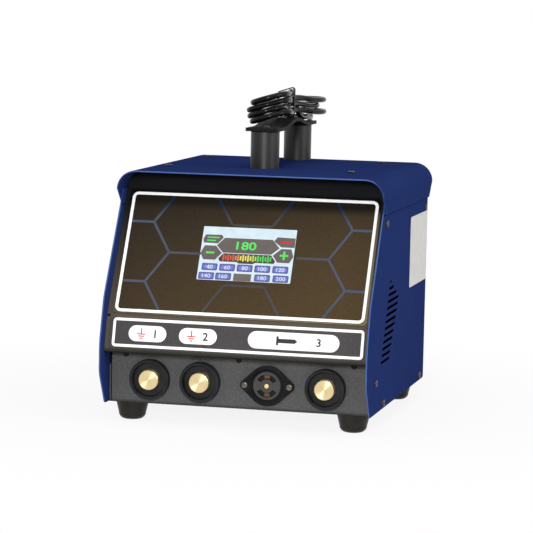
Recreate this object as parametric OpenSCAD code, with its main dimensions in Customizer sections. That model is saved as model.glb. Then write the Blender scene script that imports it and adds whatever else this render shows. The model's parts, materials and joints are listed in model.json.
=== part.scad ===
// Portable capacitor-discharge stud welder: bent sheet case with a leaning touch-screen front,
// three brass weld sockets and a gun receptacle below, a strap handle with the mains lead on it.
// Millimetres. Z up, front towards -Y, floor at Z = 0, origin under the middle of the case.

/* [Case] */
// Width over the two side panels
case_w = 305; // [290:1:340]
// Depth of a side panel, from its front knee to its rear edge
case_d = 345.5; // [330:0.5:380]
// Height of the hood's top above the floor
case_h = 280.5; // [276:0.5:300]
// Height of the case's underside above the floor
foot_h = 21; // [14:1:24]
// Thickness of the sheet metal
sheet = 1.5; // [1:0.1:2]
// Gap between neighbouring sheets that slide together
fit_gap = 0.2; // [0.1:0.05:0.4]

/* [Hood] */
// Depth of the hood's top
hood_d = 300; // [290:1:306]
// Overhang of the hood past the side panels at the rear
hood_over = 19; // [10:1:24]
// Outer radius of the hood's long corners
hood_r = 22; // [12:1:28]
// Height of the hood from its skirt's lower edge to its top
hood_drop = 39.5; // [36:0.5:46]
// Size of the slanting cut at the skirt's front and rear corners
hood_cut = 19; // [8:1:24]
// Distance of the front hood screws behind the hood's front edge
hood_screw_set = 87.5; // [80:0.5:95]
// Spacing of the hood screws across the case
hood_screw_w = 216; // [180:1:230]

/* [Side panels] */
// Setback of the lower front corner behind the knee
chin_set = 21.5; // [10:0.5:30]
// Height of the lower end of the knee
knee_low = 58; // [50:1:64]
// Height of the upper end of the knee
knee_high = 92; // [84:1:100]
// Setback of the brow behind the knee
brow_set = 13; // [8:0.5:16]
// Height of the brow, where the long slope starts
brow_h = 141; // [130:1:150]
// Lean of the long front edge from upright, in degrees
edge_lean = 30.7; // [28:0.1:32]
// Number of vent slots in each side
slot_n = 13; // [6:1:14]
// Spacing of the vent slots
slot_pitch = 7.25; // [6:0.05:7.5]
// Height of a vent slot
slot_h = 3.8; // [2:0.1:4.5]
// Length of the lowest vent slot
slot_l = 52; // [30:0.1:60]
// Height of the lowest vent slot
slot_low = 74.3; // [70:0.1:90]
// Distance of the lowest vent slot behind the knee
slot_set = 77.7; // [70:0.1:100]

/* [Front] */
// Setback of the front panel's bend behind the knee
bend_set = 23.6; // [20:0.1:28]
// Height of the front panel's bend
bend_h = 120.5; // [116:0.5:126]
// Lean of the screen face from upright, in degrees
face_lean = 28; // [26:0.1:30]
// Lean of the label strip from upright, in degrees
strip_lean = 14.2; // [10:0.1:18]
// Height of the label strip's lower edge
strip_low = 80; // [78:0.5:84]
// Setback of the socket panel behind the knee
low_set = 34.9; // [33:0.1:40]
// Width of the socket panel
low_w = 295; // [285:0.5:297]
// Width of the printed film on the screen face
film_w = 292; // [280:1:296]
// Height of the printed film on the screen face
film_h = 152.5; // [140:0.5:156]
// Gap between the bend and each film
film_set = 2.5; // [1:0.5:4]
// Height of the printed film on the label strip
strip_film_h = 36; // [30:0.5:37]
// Thickness of a printed film
film_t = 0.5; // [0.3:0.1:0.8]
// Width of the touch screen's glass
screen_w = 108; // [90:0.5:120]
// Height of the touch screen's glass
screen_h = 64.8; // [50:0.1:72]
// Distance from the bend up the face to the screen's middle
screen_up = 80; // [75:0.5:90]
// Depth of the display module behind the panel
screen_d = 12; // [8:0.5:16]

/* [Sockets] */
// Height of the socket row
socket_h = 49; // [46:0.5:51]
// Place of the first ground socket across the panel
ground_a_x = -102; // [-110:0.5:-98]
// Place of the second ground socket across the panel
ground_b_x = -43.5; // [-48:0.5:-40]
// Place of the gun's weld socket across the panel
gun_x = 100; // [94:0.5:106]
// Place of the gun's control receptacle across the panel
control_x = 33.5; // [28:0.5:38]
// Outside diameter of a socket's insulating ring
ring_d = 45.5; // [42:0.1:48]
// Height of a socket ring's lip off the panel
ring_h = 9; // [7:0.5:12]
// Depth of a socket ring's recess
ring_recess = 5.5; // [4:0.1:6]
// Width of a socket ring's lip
ring_lip = 3.2; // [2:0.1:4]
// Diameter of a brass stud's head
stud_d = 22.8; // [18:0.1:24]
// Length of a brass stud's head
stud_head = 7.5; // [6:0.5:10]
// Diameter of a brass stud's shank
shank_d = 12; // [10:0.1:14]
// Spacing of the control receptacle's two screws
control_screws = 51.2; // [48:0.1:54]
// Diameter of the control receptacle's flange at its middle
control_d = 45; // [40:0.5:46]
// Diameter of the control receptacle's face
control_face_d = 32.5; // [28:0.5:34]

/* [Handle] */
// Offset of the handle from the case's middle
handle_x = -10; // [-30:1:30]
// Diameter of a handle post
post_d = 33.4; // [28:0.1:36]
// Height of a handle post
post_h = 43.3; // [38:0.1:50]
// Distance between the two handle posts
post_gap = 166; // [150:1:168]
// Distance of the rear post ahead of the hood's rear edge
post_rear = 21.5; // [20:0.5:34]
// Width of the handle strap
strap_w = 38; // [34:0.5:44]
// Thickness of the handle strap
strap_t = 4; // [3:0.1:5]
// Rise of the handle strap at its middle
strap_rise = 8; // [4:0.5:10]

/* [Feet] */
// Spacing of the feet across the case
foot_w = 256; // [230:1:262]
// Distance of the front feet behind the knee
foot_front = 52.5; // [46:0.5:90]
// Spacing of the feet from front to rear
foot_span = 247.5; // [200:0.5:250]
// Diameter of a foot at its top
foot_top_d = 37.5; // [30:0.5:40]
// Diameter of a foot at its lower end
foot_low_d = 31; // [24:0.5:32]

/* [Rear] */
// Setback of the rear panel from the side panels' rear edges
rear_set = 2; // [1:0.5:4]
// Size of the square cooling fan
fan_size = 92; // [80:1:96]
// Depth of the cooling fan
fan_d = 25; // [20:1:28]
// Place of the fan across the rear
fan_x = -75; // [-85:1:-70]
// Height of the fan's axis
fan_h = 96; // [90:1:120]
// Place of the power switch across the rear
switch_x = -100; // [-115:1:-90]
// Height of the power switch and the breaker
switch_h = 200; // [180:1:215]
// Full swing of the power rocker, in degrees
rocker_swing = 24; // [16:1:26]
// Place of the circuit breaker across the rear
breaker_x = 20; // [15:1:60]
// Diameter of the breaker's button
button_d = 9; // [7:0.5:10]
// Travel of the breaker's button
button_travel = 6; // [4:0.5:8]

/* [Power parts] */
// Diameter of a storage capacitor
cap_d = 64; // [56:1:66]
// Height of a storage capacitor
cap_h = 104; // [80:1:120]
// Spacing of the storage capacitors
cap_pitch = 68; // [67:0.5:72]
// Width of the transformer's core
core_w = 102; // [90:1:110]
// Height of the transformer's core
core_h = 85; // [75:1:100]
// Stack thickness of the transformer's core
core_t = 52; // [40:1:60]
// Length of the heat sink across the case
sink_l = 120; // [100:1:124]
// Depth of the heat sink from front to rear
sink_d = 66; // [60:1:70]
// Height of the heat sink
sink_h = 38; // [30:1:45]
// Number of the heat sink's fins
fin_n = 11; // [6:1:14]

/* [Cord] */
// Diameter of the mains lead
cord_d = 6.5; // [6:0.1:7]
// Radius of the folds at the hank's ends
fold_r = 20.5; // [19.5:0.1:22]
// Half length of the hank's straight runs
run_half = 74; // [68:0.5:76]
// Half spacing of the runs at the hank's tied waist
waist_half = 5.5; // [5.2:0.1:7.5]
// Spacing of the hank's layers
layer_pitch = 7.2; // [7.1:0.1:8]
// Extra layer spacing where the front folds fan out
layer_fan = 0; // [0:0.1:3]
// Place of the cord's gland across the rear
gland_x = -40; // [-44:1:-38]
// Height of the cord's gland
gland_h = 160; // [156:1:164]

/* [Hidden] */

$fn = 64;
eps = 0.01;
past = 2;

// Places from front to rear
knee_y = -(case_d + hood_over) / 2;
side_rear_y = knee_y + case_d;
hood_rear_y = side_rear_y + hood_over;
hood_front_y = hood_rear_y - hood_d;
low_y = knee_y + low_set;
bend_y = knee_y + bend_set;
rear_y = side_rear_y - rear_set;
foot_front_y = knee_y + foot_front;
foot_rear_y = foot_front_y + foot_span;

// Places across and up
side_x = case_w / 2;
inner_x = side_x - sheet;
flange_x = inner_x - fit_gap;
hood_x = side_x + fit_gap + sheet;
floor_z = foot_h + sheet;
hood_under = case_h - sheet;
skirt_z = case_h - hood_drop;
panel_top = hood_under - fit_gap;
wall_top = case_h - hood_r - fit_gap;

// Sheet flanges and the screws through them
base_flange = 42;
front_flange = 20;
front_shelf = 60;
front_lip = 10;
rear_flange = 22;
rear_shelf = 26;
rear_flange_low = foot_h + base_flange + 5;
screw_d = 4;
screw_hole = screw_d + 2 * fit_gap;
screw_head_d = 8;
screw_head_h = 2.2;
screw_l = 6;
small_screw_d = 3;
small_head_d = 6;
head_rim = 0.45;
head_top = 0.6;
bevel = 1;

// Side screws: distance behind the knee, and height
side_screw_spots = [[91, 230], [49, 56], [94, 27.5], [case_d - 29.5, 27.5], [case_d - 15.5, 230]];
lower_screw_in = 16.5;
lower_screw_spots = [lower_screw_in - low_w / 2, 0, low_w / 2 - lower_screw_in];
lower_screw_h = 75.5;
lower_top = strip_low - sheet - fit_gap;

// Vent field: how its ends lean with height, and where its top is cut
slot_lean_front = 0.4875;
slot_lean_rear = 0.76;
slot_cut_h = 64.7;
slot_cut_lean = 2.1;
slot_min = 2;

// Handle
post_rear_y = hood_rear_y - post_rear;
post_front_y = post_rear_y - post_gap;
handle_y = (post_front_y + post_rear_y) / 2;
post_top = case_h + post_h;
strap_top = post_top + strap_t;
strap_end = post_d / 2 + 2;
strap_steps = 32;
bow_half = post_gap / 2 - post_d / 2;
bolt_d = 8;
bolt_head_d = 14;
bolt_head_h = 1.5;
nut_h = 7;
nut_d = 15;
bolt_l = strap_t + post_h + sheet + nut_h;

// Rounded corners of the side panel's front edge
knee_round = 26;
edge_round = 60;
corner_round = 4;
arc_steps = 8;

// Returns the unit vector along v.
function unit(v) = v / norm(v);
// Returns the points of an arc of radius r that rounds the corner at b between a and c.
function corner_arc(a, b, c, r) =
  let (
    d1 = unit(a - b),
    d2 = unit(c - b),
    half = acos(d1 * d2) / 2,
    reach = r / tan(half),
    mid = b + unit(d1 + d2) * r / sin(half),
    from = b + d1 * reach - mid,
    to = b + d2 * reach - mid
  )
  [for (i = [0:arc_steps]) let (t = i / arc_steps, m = from * (1 - t) + to * t) mid + r * unit(m)];
// Returns the corner list p, each corner as place and radius, as an outline with arcs for corners.
function flat(p) = [p[0], p[1]];
function rounded(p) = [
  for (i = [0:len(p) - 1])
    let (
      n = len(p),
      a = flat(p[(i + n - 1) % n]),
      b = flat(p[i]),
      c = flat(p[(i + 1) % n])
    )
    each (p[i][2] == 0 ? [b] : corner_arc(a, b, c, p[i][2]))
];

// Returns the outline of a bent sheet of thickness t whose one face follows the line p.
function left_of(d) = [-d[1], d[0]];
function mitre(p, i) =
  let (
    n1 = left_of(unit(p[max(i, 1)] - p[max(i, 1) - 1])),
    k = min(i, len(p) - 2),
    n2 = left_of(unit(p[k + 1] - p[k]))
  )
  (n1 + n2) / (1 + n1 * n2);
function bent_sheet(p, t) = concat(
  p,
  [for (i = [len(p) - 1:-1:0]) p[i] + t * mitre(p, i)]
);

// Extrudes an outline of depth and height across the case, centred.
module across(w) {
  translate([-w / 2, 0, 0]) rotate([90, 0, 90]) linear_extrude(w) children();
}

// Local frames: X across, Y up the face, Z out of it.
module on_face() {
  translate([0, bend_y, bend_h]) rotate([90 - face_lean, 0, 0]) children();
}
module on_strip() {
  translate([0, bend_y, bend_h]) rotate([90 - strip_lean, 0, 0]) children();
}
module on_low(x) {
  translate([x, low_y, socket_h]) rotate([90, 0, 0]) children();
}
// Local frame on the rear panel: Z out towards the rear.
module on_rear(x, z) {
  translate([x, rear_y, z]) rotate([-90, 0, 0]) children();
}
// Local frame on a side panel, s = -1 left and 1 right: Z out of the side.
module on_side(s, y, z) {
  translate([s * side_x, y, z]) rotate([0, s * 90, 0]) children();
}

module block(w, d, h) {
  translate([-w / 2, -d / 2, 0]) cube([w, d, h]);
}
module plate(w, h, t, r) {
  linear_extrude(t) polygon(rounded([
    [-w / 2, -h / 2, r], [w / 2, -h / 2, r], [w / 2, h / 2, r], [-w / 2, h / 2, r]
  ]));
}
module screw(d, head_d, head_h, l) {
  rim = head_h * head_rim;
  translate([0, 0, -l]) cylinder(d = d, h = l + eps);
  cylinder(d = head_d, h = rim);
  translate([0, 0, rim]) cylinder(d1 = head_d, d2 = head_d * head_top, h = head_h - rim);
}

// Case

module base_pan() {
  color("dimgray") difference() {
    union() {
      translate([-flange_x, low_y, foot_h])
        cube([2 * flange_x, rear_y - low_y, sheet]);
      for (s = [-1, 1])
        translate([s > 0 ? flange_x - sheet : -flange_x, low_y + sheet + fit_gap, foot_h])
          cube([sheet, rear_y - low_y - 2 * sheet - 2 * fit_gap, base_flange]);
    }
    for (x = [-1, 1], y = [foot_front_y, foot_rear_y])
      translate([x * foot_w / 2, y, foot_h - past]) cylinder(d = screw_hole + 1, h = sheet + 2 * past);
    side_screw_holes();
  }
}

module lower_front_panel() {
  color("dimgray") difference() {
    translate([-low_w / 2, low_y, floor_z])
      cube([low_w, sheet, lower_top - floor_z]);
    for (x = [ground_a_x, ground_b_x, gun_x])
      on_low(x) translate([0, 0, -sheet - past]) cylinder(d = barrel_d + 2 * fit_gap, h = sheet + 2 * past);
    on_low(control_x) translate([0, 0, -sheet - past]) {
      cylinder(d = control_barrel_d + 2 * fit_gap, h = sheet + 2 * past);
      for (s = [-1, 1])
        translate([s * control_screws / 2, 0, 0]) cylinder(d = screw_hole, h = sheet + 2 * past);
    }
    lower_screw_holes();
  }
}

// Line of the front panel's outer face, from its rear shelf down to its lip behind the socket panel
face_line = [
  [bend_y + (panel_top - bend_h) * tan(face_lean) + front_shelf, panel_top],
  [bend_y + (panel_top - bend_h) * tan(face_lean), panel_top],
  [bend_y, bend_h],
  [bend_y - (bend_h - strip_low) * tan(strip_lean), strip_low],
  [low_y + sheet + fit_gap, strip_low],
  [low_y + sheet + fit_gap, strip_low - sheet - front_lip]
];

module front_panel() {
  color("black") difference() {
    intersection() {
      front_sheet();
      under_hood();
    }
    on_face() translate([0, screen_up, -sheet - past])
      plate(screen_w - screen_lap, screen_h - screen_lap, sheet + 2 * past, 2);
    for (s = [-1, 1])
      translate([s * flange_x, bend_y, bend_h - relief_h / 2]) block(2 * relief_w, 4 * sheet, relief_h);
    nut_clearance(post_front_y);
    side_screw_holes();
    lower_screw_holes();
    hood_screw_holes();
  }
}
module front_sheet() {
  across(2 * flange_x) polygon(bent_sheet(face_line, sheet));
  for (s = [-1, 1])
    translate([s * (flange_x - sheet / 2), 0, 0]) across(sheet) polygon([
      face_line[1] + [sheet, -sheet / 2],
      face_line[2] + [sheet / 2, 0],
      face_line[2] + [front_flange, 0],
      face_line[1] + [front_flange, -sheet / 2]
    ]);
}

// Relief cuts at the ends of the front panel's bend
relief_w = 4;
relief_h = 2.6;

// The glass lies in the film's window and laps over the panel's cut-out
screen_lap = 6;
glass_gap = 0.3;
display_w = 96;
display_h = 56;

module face_film() {
  color("saddlebrown") on_face() difference() {
    translate([0, film_set + film_h / 2, 0]) plate(film_w, film_h, film_t, corner_round);
    translate([0, screen_up, -past])
      plate(screen_w + 2 * glass_gap, screen_h + 2 * glass_gap, film_t + 2 * past, 1);
  }
}

module strip_film() {
  color("dimgray") on_strip()
    translate([0, -film_set - strip_film_h / 2, 0]) plate(film_w, strip_film_h, film_t, corner_round);
}

module touch_screen() {
  color("lightblue") on_face() translate([0, screen_up, 0]) {
    plate(screen_w, screen_h, film_t, 1);
    translate([0, 0, -screen_d])
      plate(screen_w - screen_lap - bevel, screen_h - screen_lap - bevel, screen_d + eps, 2);
  }
}

module display_board() {
  color("darkgreen") on_face() translate([0, screen_up, -screen_d - board_t])
    plate(display_w, display_h, board_t, 2);
}

// Outline of a side panel
edge_top_y = knee_y + brow_set + (wall_top - brow_h) * tan(edge_lean);
side_outline = rounded([
  [knee_y + chin_set, foot_h, corner_round],
  [side_rear_y, foot_h, corner_round],
  [side_rear_y, wall_top, 0],
  [edge_top_y, wall_top, 0],
  [knee_y + brow_set, brow_h, edge_round],
  [knee_y, knee_high, edge_round],
  [knee_y, knee_low, knee_round]
]);

module vent_slots(s) {
  for (i = [0:slot_n - 1]) {
    up = i * slot_pitch;
    from = knee_y + slot_set + slot_lean_front * up;
    grown = slot_l + (slot_lean_rear - slot_lean_front) * min(up, slot_cut_h);
    cut = (slot_cut_lean + slot_lean_front) * max(0, up - slot_cut_h);
    l = max(slot_h + slot_min, grown - cut);
    for (y = [from + slot_h / 2, from + l - slot_h / 2])
      translate([s * side_x - sheet - past, y, slot_low + up])
        rotate([0, 90, 0]) cylinder(d = slot_h, h = 2 * (sheet + past), $fn = 24);
    translate([s * side_x - sheet - past, from + slot_h / 2, slot_low + up - slot_h / 2])
      cube([2 * (sheet + past), l - slot_h, slot_h]);
  }
}

module side_panel(s) {
  color("royalblue") difference() {
    translate([s * (side_x - sheet / 2), 0, 0]) across(sheet) polygon(side_outline);
    vent_slots(s);
    side_screw_holes();
  }
}
module side_panel_left() side_panel(-1);
module side_panel_right() side_panel(1);

module side_screw_holes() {
  for (s = [-1, 1], p = side_screw_spots)
    on_side(s, knee_y + p[0], p[1])
      translate([0, 0, -screw_l - past]) cylinder(d = screw_hole, h = screw_l + 2 * past);
}
module side_screws() {
  color("black") for (s = [-1, 1], p = side_screw_spots)
    on_side(s, knee_y + p[0], p[1]) screw(screw_d, screw_head_d, screw_head_h, screw_l);
}

module lower_screw_holes() {
  for (x = lower_screw_spots)
    translate([x, low_y + screw_l + past, lower_screw_h]) rotate([90, 0, 0])
      cylinder(d = small_screw_d + 2 * fit_gap, h = screw_l + 2 * past);
}
module lower_panel_screws() {
  color("black") for (x = lower_screw_spots)
    translate([x, low_y, lower_screw_h]) rotate([90, 0, 0])
      screw(small_screw_d, small_head_d, screw_head_h, screw_l);
}

// A vault: flat top, two long rounded corners and straight skirts
module vault(hw, top, r, low, from, to) {
  translate([-hw, from, low]) cube([2 * hw, to - from, top - r - low]);
  translate([r - hw, from, low]) cube([2 * (hw - r), to - from, top - low]);
  for (s = [-1, 1])
    translate([s * (hw - r), from, top - r]) rotate([-90, 0, 0]) cylinder(r = r, h = to - from, $fn = 96);
}

hood_screw_spots = [
  for (s = [-1, 1], y = [hood_front_y + hood_screw_set, rear_y - rear_shelf / 2])
    [handle_x + s * hood_screw_w / 2, y]
];
module hood_screw_holes() {
  for (p = hood_screw_spots)
    translate([p[0], p[1], case_h - screw_l - past]) cylinder(d = screw_hole, h = screw_l + 2 * past);
}
module hood_screws() {
  color("black") for (p = hood_screw_spots)
    translate([p[0], p[1], case_h]) screw(screw_d, screw_head_d, screw_head_h, screw_l);
}

// The space under the hood's vault, which trims the panels' upper corners
module under_hood() {
  vault(hood_x - sheet - fit_gap, panel_top, hood_r - sheet - fit_gap, foot_h, knee_y - past, rear_y + past);
}

module hood() {
  color("royalblue") difference() {
    intersection() {
      vault(hood_x, case_h, hood_r, skirt_z, hood_front_y, hood_rear_y);
      across(2 * hood_x + past) polygon([
        [hood_front_y, case_h + past],
        [hood_front_y, skirt_z + hood_cut],
        [hood_front_y + hood_cut, skirt_z],
        [hood_rear_y - hood_cut, skirt_z],
        [hood_rear_y, skirt_z + hood_cut],
        [hood_rear_y, case_h + past]
      ]);
    }
    vault(hood_x - sheet, hood_under, hood_r - sheet, skirt_z - past,
      hood_front_y - past, hood_rear_y + past);
    hood_screw_holes();
    for (y = [post_front_y, post_rear_y])
      translate([handle_x, y, hood_under - past]) cylinder(d = bolt_d + 2 * fit_gap, h = sheet + 2 * past);
  }
}

// Room for a handle nut in a shelf under the hood
module nut_clearance(y) {
  translate([handle_x, y, hood_under - nut_h - past]) cylinder(d = nut_d + 2, h = nut_h + 2 * past);
}

module rear_sheet() {
  across(2 * flange_x) polygon(bent_sheet([
    [rear_y, floor_z],
    [rear_y, panel_top],
    [rear_y - rear_shelf, panel_top]
  ], sheet));
  for (s = [-1, 1])
    translate([s > 0 ? flange_x - sheet : -flange_x, rear_y - rear_flange, rear_flange_low])
      cube([sheet, rear_flange - eps, wall_top - rear_flange_low]);
}
module rear_panel() {
  color("black") difference() {
    intersection() {
      rear_sheet();
      under_hood();
    }
    side_screw_holes();
    hood_screw_holes();
    nut_clearance(post_rear_y);
    on_rear(fan_x, fan_h) translate([0, 0, -sheet - past]) {
      cylinder(d = fan_bore, h = sheet + 2 * past);
      fan_corners() cylinder(d = screw_hole, h = sheet + 2 * past);
    }
    on_rear(switch_x, switch_h) translate([0, 0, -sheet - past])
      block(switch_body_w + 2 * fit_gap, switch_body_h + 2 * fit_gap, sheet + 2 * past);
    on_rear(breaker_x, switch_h) translate([0, 0, -sheet - past])
      cylinder(d = bush_d + 2 * fit_gap, h = sheet + 2 * past);
    on_rear(gland_x, gland_h) translate([0, 0, -sheet - past])
      cylinder(d = gland_d + 2 * fit_gap, h = sheet + 2 * past);
  }
}

// Feet

foot_well = 8;
foot_flat = 8;
foot_edge = foot_low_d / 2 - foot_flat;
module foot(x, y) {
  color("black") translate([x * foot_w / 2, y, 0]) difference() {
    rotate_extrude() polygon(concat(
      [[0, 0]],
      [for (i = [0:arc_steps])
        let (a = 90 * i / arc_steps)
        [foot_low_d / 2 - foot_edge * (1 - sin(a)), foot_edge * (1 - cos(a))]],
      [[foot_top_d / 2, foot_h], [0, foot_h]]
    ));
    translate([0, 0, -past]) cylinder(d = screw_hole, h = foot_h + 2 * past);
    translate([0, 0, -past]) cylinder(d = screw_head_d + 2, h = past + foot_well);
  }
}
module foot_front_left() foot(-1, foot_front_y);
module foot_front_right() foot(1, foot_front_y);
module foot_rear_left() foot(-1, foot_rear_y);
module foot_rear_right() foot(1, foot_rear_y);
module foot_screws() {
  color("silver") for (x = [-1, 1], y = [foot_front_y, foot_rear_y])
    translate([x * foot_w / 2, y, foot_well]) rotate([180, 0, 0])
      screw(screw_d, screw_head_d, screw_head_h, foot_h - foot_well + sheet + screw_l);
}

// Weld sockets

barrel_d = 30;
barrel_l = 6;
ring_floor = ring_h - ring_recess;
shank_l = 26;
stud_chamfer = 0.8;
stud_nut_h = 8;
stud_nut_d = 22;

module socket_ring(x) {
  color("black") on_low(x) rotate_extrude() polygon([
    [shank_d / 2 + fit_gap, -sheet - barrel_l],
    [barrel_d / 2, -sheet - barrel_l],
    [barrel_d / 2, 0],
    [ring_d / 2, 0],
    [ring_d / 2, ring_h - bevel],
    [ring_d / 2 - bevel, ring_h],
    [ring_d / 2 - ring_lip, ring_h],
    [ring_d / 2 - ring_lip - bevel, ring_floor],
    [shank_d / 2 + fit_gap, ring_floor]
  ]);
}
module socket_ring_ground_a() socket_ring(ground_a_x);
module socket_ring_ground_b() socket_ring(ground_b_x);
module socket_ring_gun() socket_ring(gun_x);

module brass_stud(x) {
  color("gold") on_low(x) {
    translate([0, 0, ring_floor - sheet - shank_l]) cylinder(d = shank_d, h = sheet + shank_l + eps);
    translate([0, 0, ring_floor]) cylinder(d = stud_d, h = stud_head - stud_chamfer);
    translate([0, 0, ring_floor + stud_head - stud_chamfer])
      cylinder(d1 = stud_d, d2 = stud_d - 2 * stud_chamfer, h = stud_chamfer);
  }
}
module brass_stud_ground_a() brass_stud(ground_a_x);
module brass_stud_ground_b() brass_stud(ground_b_x);
module brass_stud_gun() brass_stud(gun_x);

module stud_nuts() {
  color("gold") for (x = [ground_a_x, ground_b_x, gun_x])
    on_low(x) translate([0, 0, -sheet - barrel_l - stud_nut_h]) difference() {
      cylinder(d = stud_nut_d, h = stud_nut_h, $fn = 6);
      translate([0, 0, -past]) cylinder(d = shank_d + fit_gap, h = stud_nut_h + 2 * past);
    }
}

// Gun control receptacle

control_flange = 4.2;
control_h = 5.5;
control_wall = 2.25;
control_collar_d = control_face_d + 2 * control_wall;
control_barrel_d = 38;
control_barrel_l = 22;
control_ear_d = 10.5;
control_head_d = 7.5;
control_floor = 0.2;
control_face_h = 4.5;
face_bevel = 0.8;
slot_in = 8.2;
slot_out = 12.2;
slot_sweep = 120;
slot_gap = 0.6;
slot_floor = 1;
contact_sweep = 36;
contact_h = 2;
pin_d = 5;

module control_receptacle() {
  color("black") on_low(control_x) difference() {
    union() {
      hull() {
        cylinder(d = control_d, h = control_flange, $fn = 64);
        for (s = [-1, 1])
          translate([s * control_screws / 2, 0, 0]) cylinder(d = control_ear_d, h = control_flange, $fn = 32);
      }
      cylinder(d = control_collar_d, h = control_h - bevel);
      translate([0, 0, control_h - bevel])
        cylinder(d1 = control_collar_d, d2 = control_collar_d - 2 * bevel, h = bevel);
      translate([0, 0, -sheet - control_barrel_l])
        cylinder(d = control_barrel_d, h = sheet + control_barrel_l + eps);
    }
    translate([0, 0, control_floor]) cylinder(d = control_face_d + 2 * fit_gap, h = control_h + past);
    for (s = [-1, 1])
      translate([s * control_screws / 2, 0, -past]) cylinder(d = screw_hole, h = control_h + 2 * past);
  }
}

// Two arcs, above and below the middle, between the radii r1 and r2
module control_arcs(sweep, r1, r2, from, to) {
  for (turn = [90, 270])
    rotate([0, 0, turn - sweep / 2]) rotate_extrude(angle = sweep)
      translate([r1, from]) square([r2 - r1, to - from]);
}

module control_insert() {
  color("gray") on_low(control_x) translate([0, 0, control_floor]) difference() {
    union() {
      cylinder(d = control_face_d, h = control_face_h - face_bevel);
      translate([0, 0, control_face_h - face_bevel])
        cylinder(d1 = control_face_d, d2 = control_face_d - 2 * face_bevel, h = face_bevel);
    }
    control_arcs(slot_sweep, slot_in - slot_gap, slot_out + slot_gap, slot_floor, control_face_h + past);
    translate([0, 0, slot_floor]) cylinder(d = pin_d + 2 * fit_gap, h = control_face_h + past);
  }
}

module control_contacts() {
  color("gold") on_low(control_x) translate([0, 0, control_floor]) {
    control_arcs(contact_sweep, slot_in, slot_out, slot_floor, slot_floor + contact_h);
    translate([0, 0, slot_floor]) cylinder(d = pin_d, h = control_face_h);
  }
}

module control_screws_pair() {
  color("silver") on_low(control_x) for (s = [-1, 1])
    translate([s * control_screws / 2, 0, control_flange])
      screw(small_screw_d, control_head_d, screw_head_h, screw_l + control_flange);
}

// Handle

module handle_post(y) {
  color("black") translate([handle_x, y, case_h]) difference() {
    union() {
      cylinder(d = post_d, h = post_h - bevel);
      translate([0, 0, post_h - bevel]) cylinder(d1 = post_d, d2 = post_d - 2 * bevel, h = bevel);
    }
    translate([0, 0, -past]) cylinder(d = bolt_d + 2 * fit_gap, h = post_h + 2 * past);
  }
}
module handle_post_front() handle_post(post_front_y);
module handle_post_rear() handle_post(post_rear_y);

// Height of the strap's bow at a distance y from the handle's middle
function bow(y) = abs(y) >= bow_half ? 0 : strap_rise * (1 + cos(180 * y / bow_half)) / 2;
strap_line = concat(
  [[post_rear_y + strap_end, post_top]],
  [for (i = [0:strap_steps])
    let (y = bow_half - 2 * bow_half * i / strap_steps) [handle_y + y, post_top + bow(y)]],
  [[post_front_y - strap_end, post_top]]
);
strap_under = [for (i = [len(strap_line) - 1:-1:0]) strap_line[i]];
module handle_strap() {
  color("black") difference() {
    translate([handle_x, 0, 0]) across(strap_w)
      polygon(bent_sheet(strap_under, strap_t));
    for (y = [post_front_y, post_rear_y])
      translate([handle_x, y, post_top - past]) cylinder(d = bolt_d + 2 * fit_gap, h = strap_t + 2 * past);
  }
}

module handle_bolts() {
  color("black") for (y = [post_front_y, post_rear_y])
    translate([handle_x, y, strap_top]) {
      translate([0, 0, -bolt_l]) cylinder(d = bolt_d, h = bolt_l + eps);
      cylinder(d1 = bolt_head_d, d2 = bolt_head_d * head_top, h = bolt_head_h);
    }
}
module handle_nuts() {
  color("silver") for (y = [post_front_y, post_rear_y])
    translate([handle_x, y, hood_under - nut_h]) difference() {
      cylinder(d = nut_d, h = nut_h, $fn = 6);
      translate([0, 0, -past]) cylinder(d = bolt_d + fit_gap, h = nut_h + 2 * past);
    }
}

// Rear: switch, breaker and fan

switch_body_w = 22;
switch_body_h = 30;
switch_bezel = 2;
switch_rim = 2.2;
switch_d = 20;
rocker_w = 15.8;
rocker_gap = 0.3;
cavity_h = 26.4;
cavity_d = 15;
pivot_in = 4;
pivot_d = 3;
pivot_l = 18.4;
pivot_gap = 0.15;

module switch_housing() {
  color("black") on_rear(switch_x, switch_h) difference() {
    union() {
      plate(switch_body_w + 2 * switch_bezel, switch_body_h + 2 * switch_bezel, switch_rim, 1.5);
      translate([0, 0, -switch_d]) block(switch_body_w, switch_body_h, switch_d + eps);
    }
    translate([0, 0, -cavity_d]) block(rocker_w + 2 * rocker_gap, cavity_h, cavity_d + switch_rim + past);
    translate([-pivot_l / 2 - pivot_gap, 0, -pivot_in]) rotate([0, 90, 0])
      cylinder(d = pivot_d + 2 * pivot_gap, h = pivot_l + 2 * pivot_gap);
  }
}

// The rocker's section about its pivot: a shallow V above and a blunt foot below
rocker_reach = 11.4;
rocker_tip = 7;
rocker_dip = 5;
rocker_foot = 6;
module power_rocker() {
  color("crimson") on_rear(switch_x, switch_h) translate([0, 0, -pivot_in])
    rotate([rocker_swing / 2, 0, 0]) {
      across(rocker_w) polygon([
        [-rocker_reach, rocker_tip],
        [0, rocker_dip],
        [rocker_reach, rocker_tip],
        [rocker_reach - bevel, bevel],
        [rocker_foot, -rocker_foot],
        [-rocker_foot, -rocker_foot],
        [bevel - rocker_reach, bevel]
      ]);
      translate([-pivot_l / 2, 0, 0]) rotate([0, 90, 0]) cylinder(d = pivot_d, h = pivot_l);
    }
}

bush_d = 14;
bush_out = 5;
bush_nut = 3;
bush_nut_d = bush_d + 6;
breaker_w = 18;
breaker_h = 30;
breaker_d = 28;
button_out = 4;
button_gap = 0.3;
button_hold = 8;
button_in = button_travel + button_hold;

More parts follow.
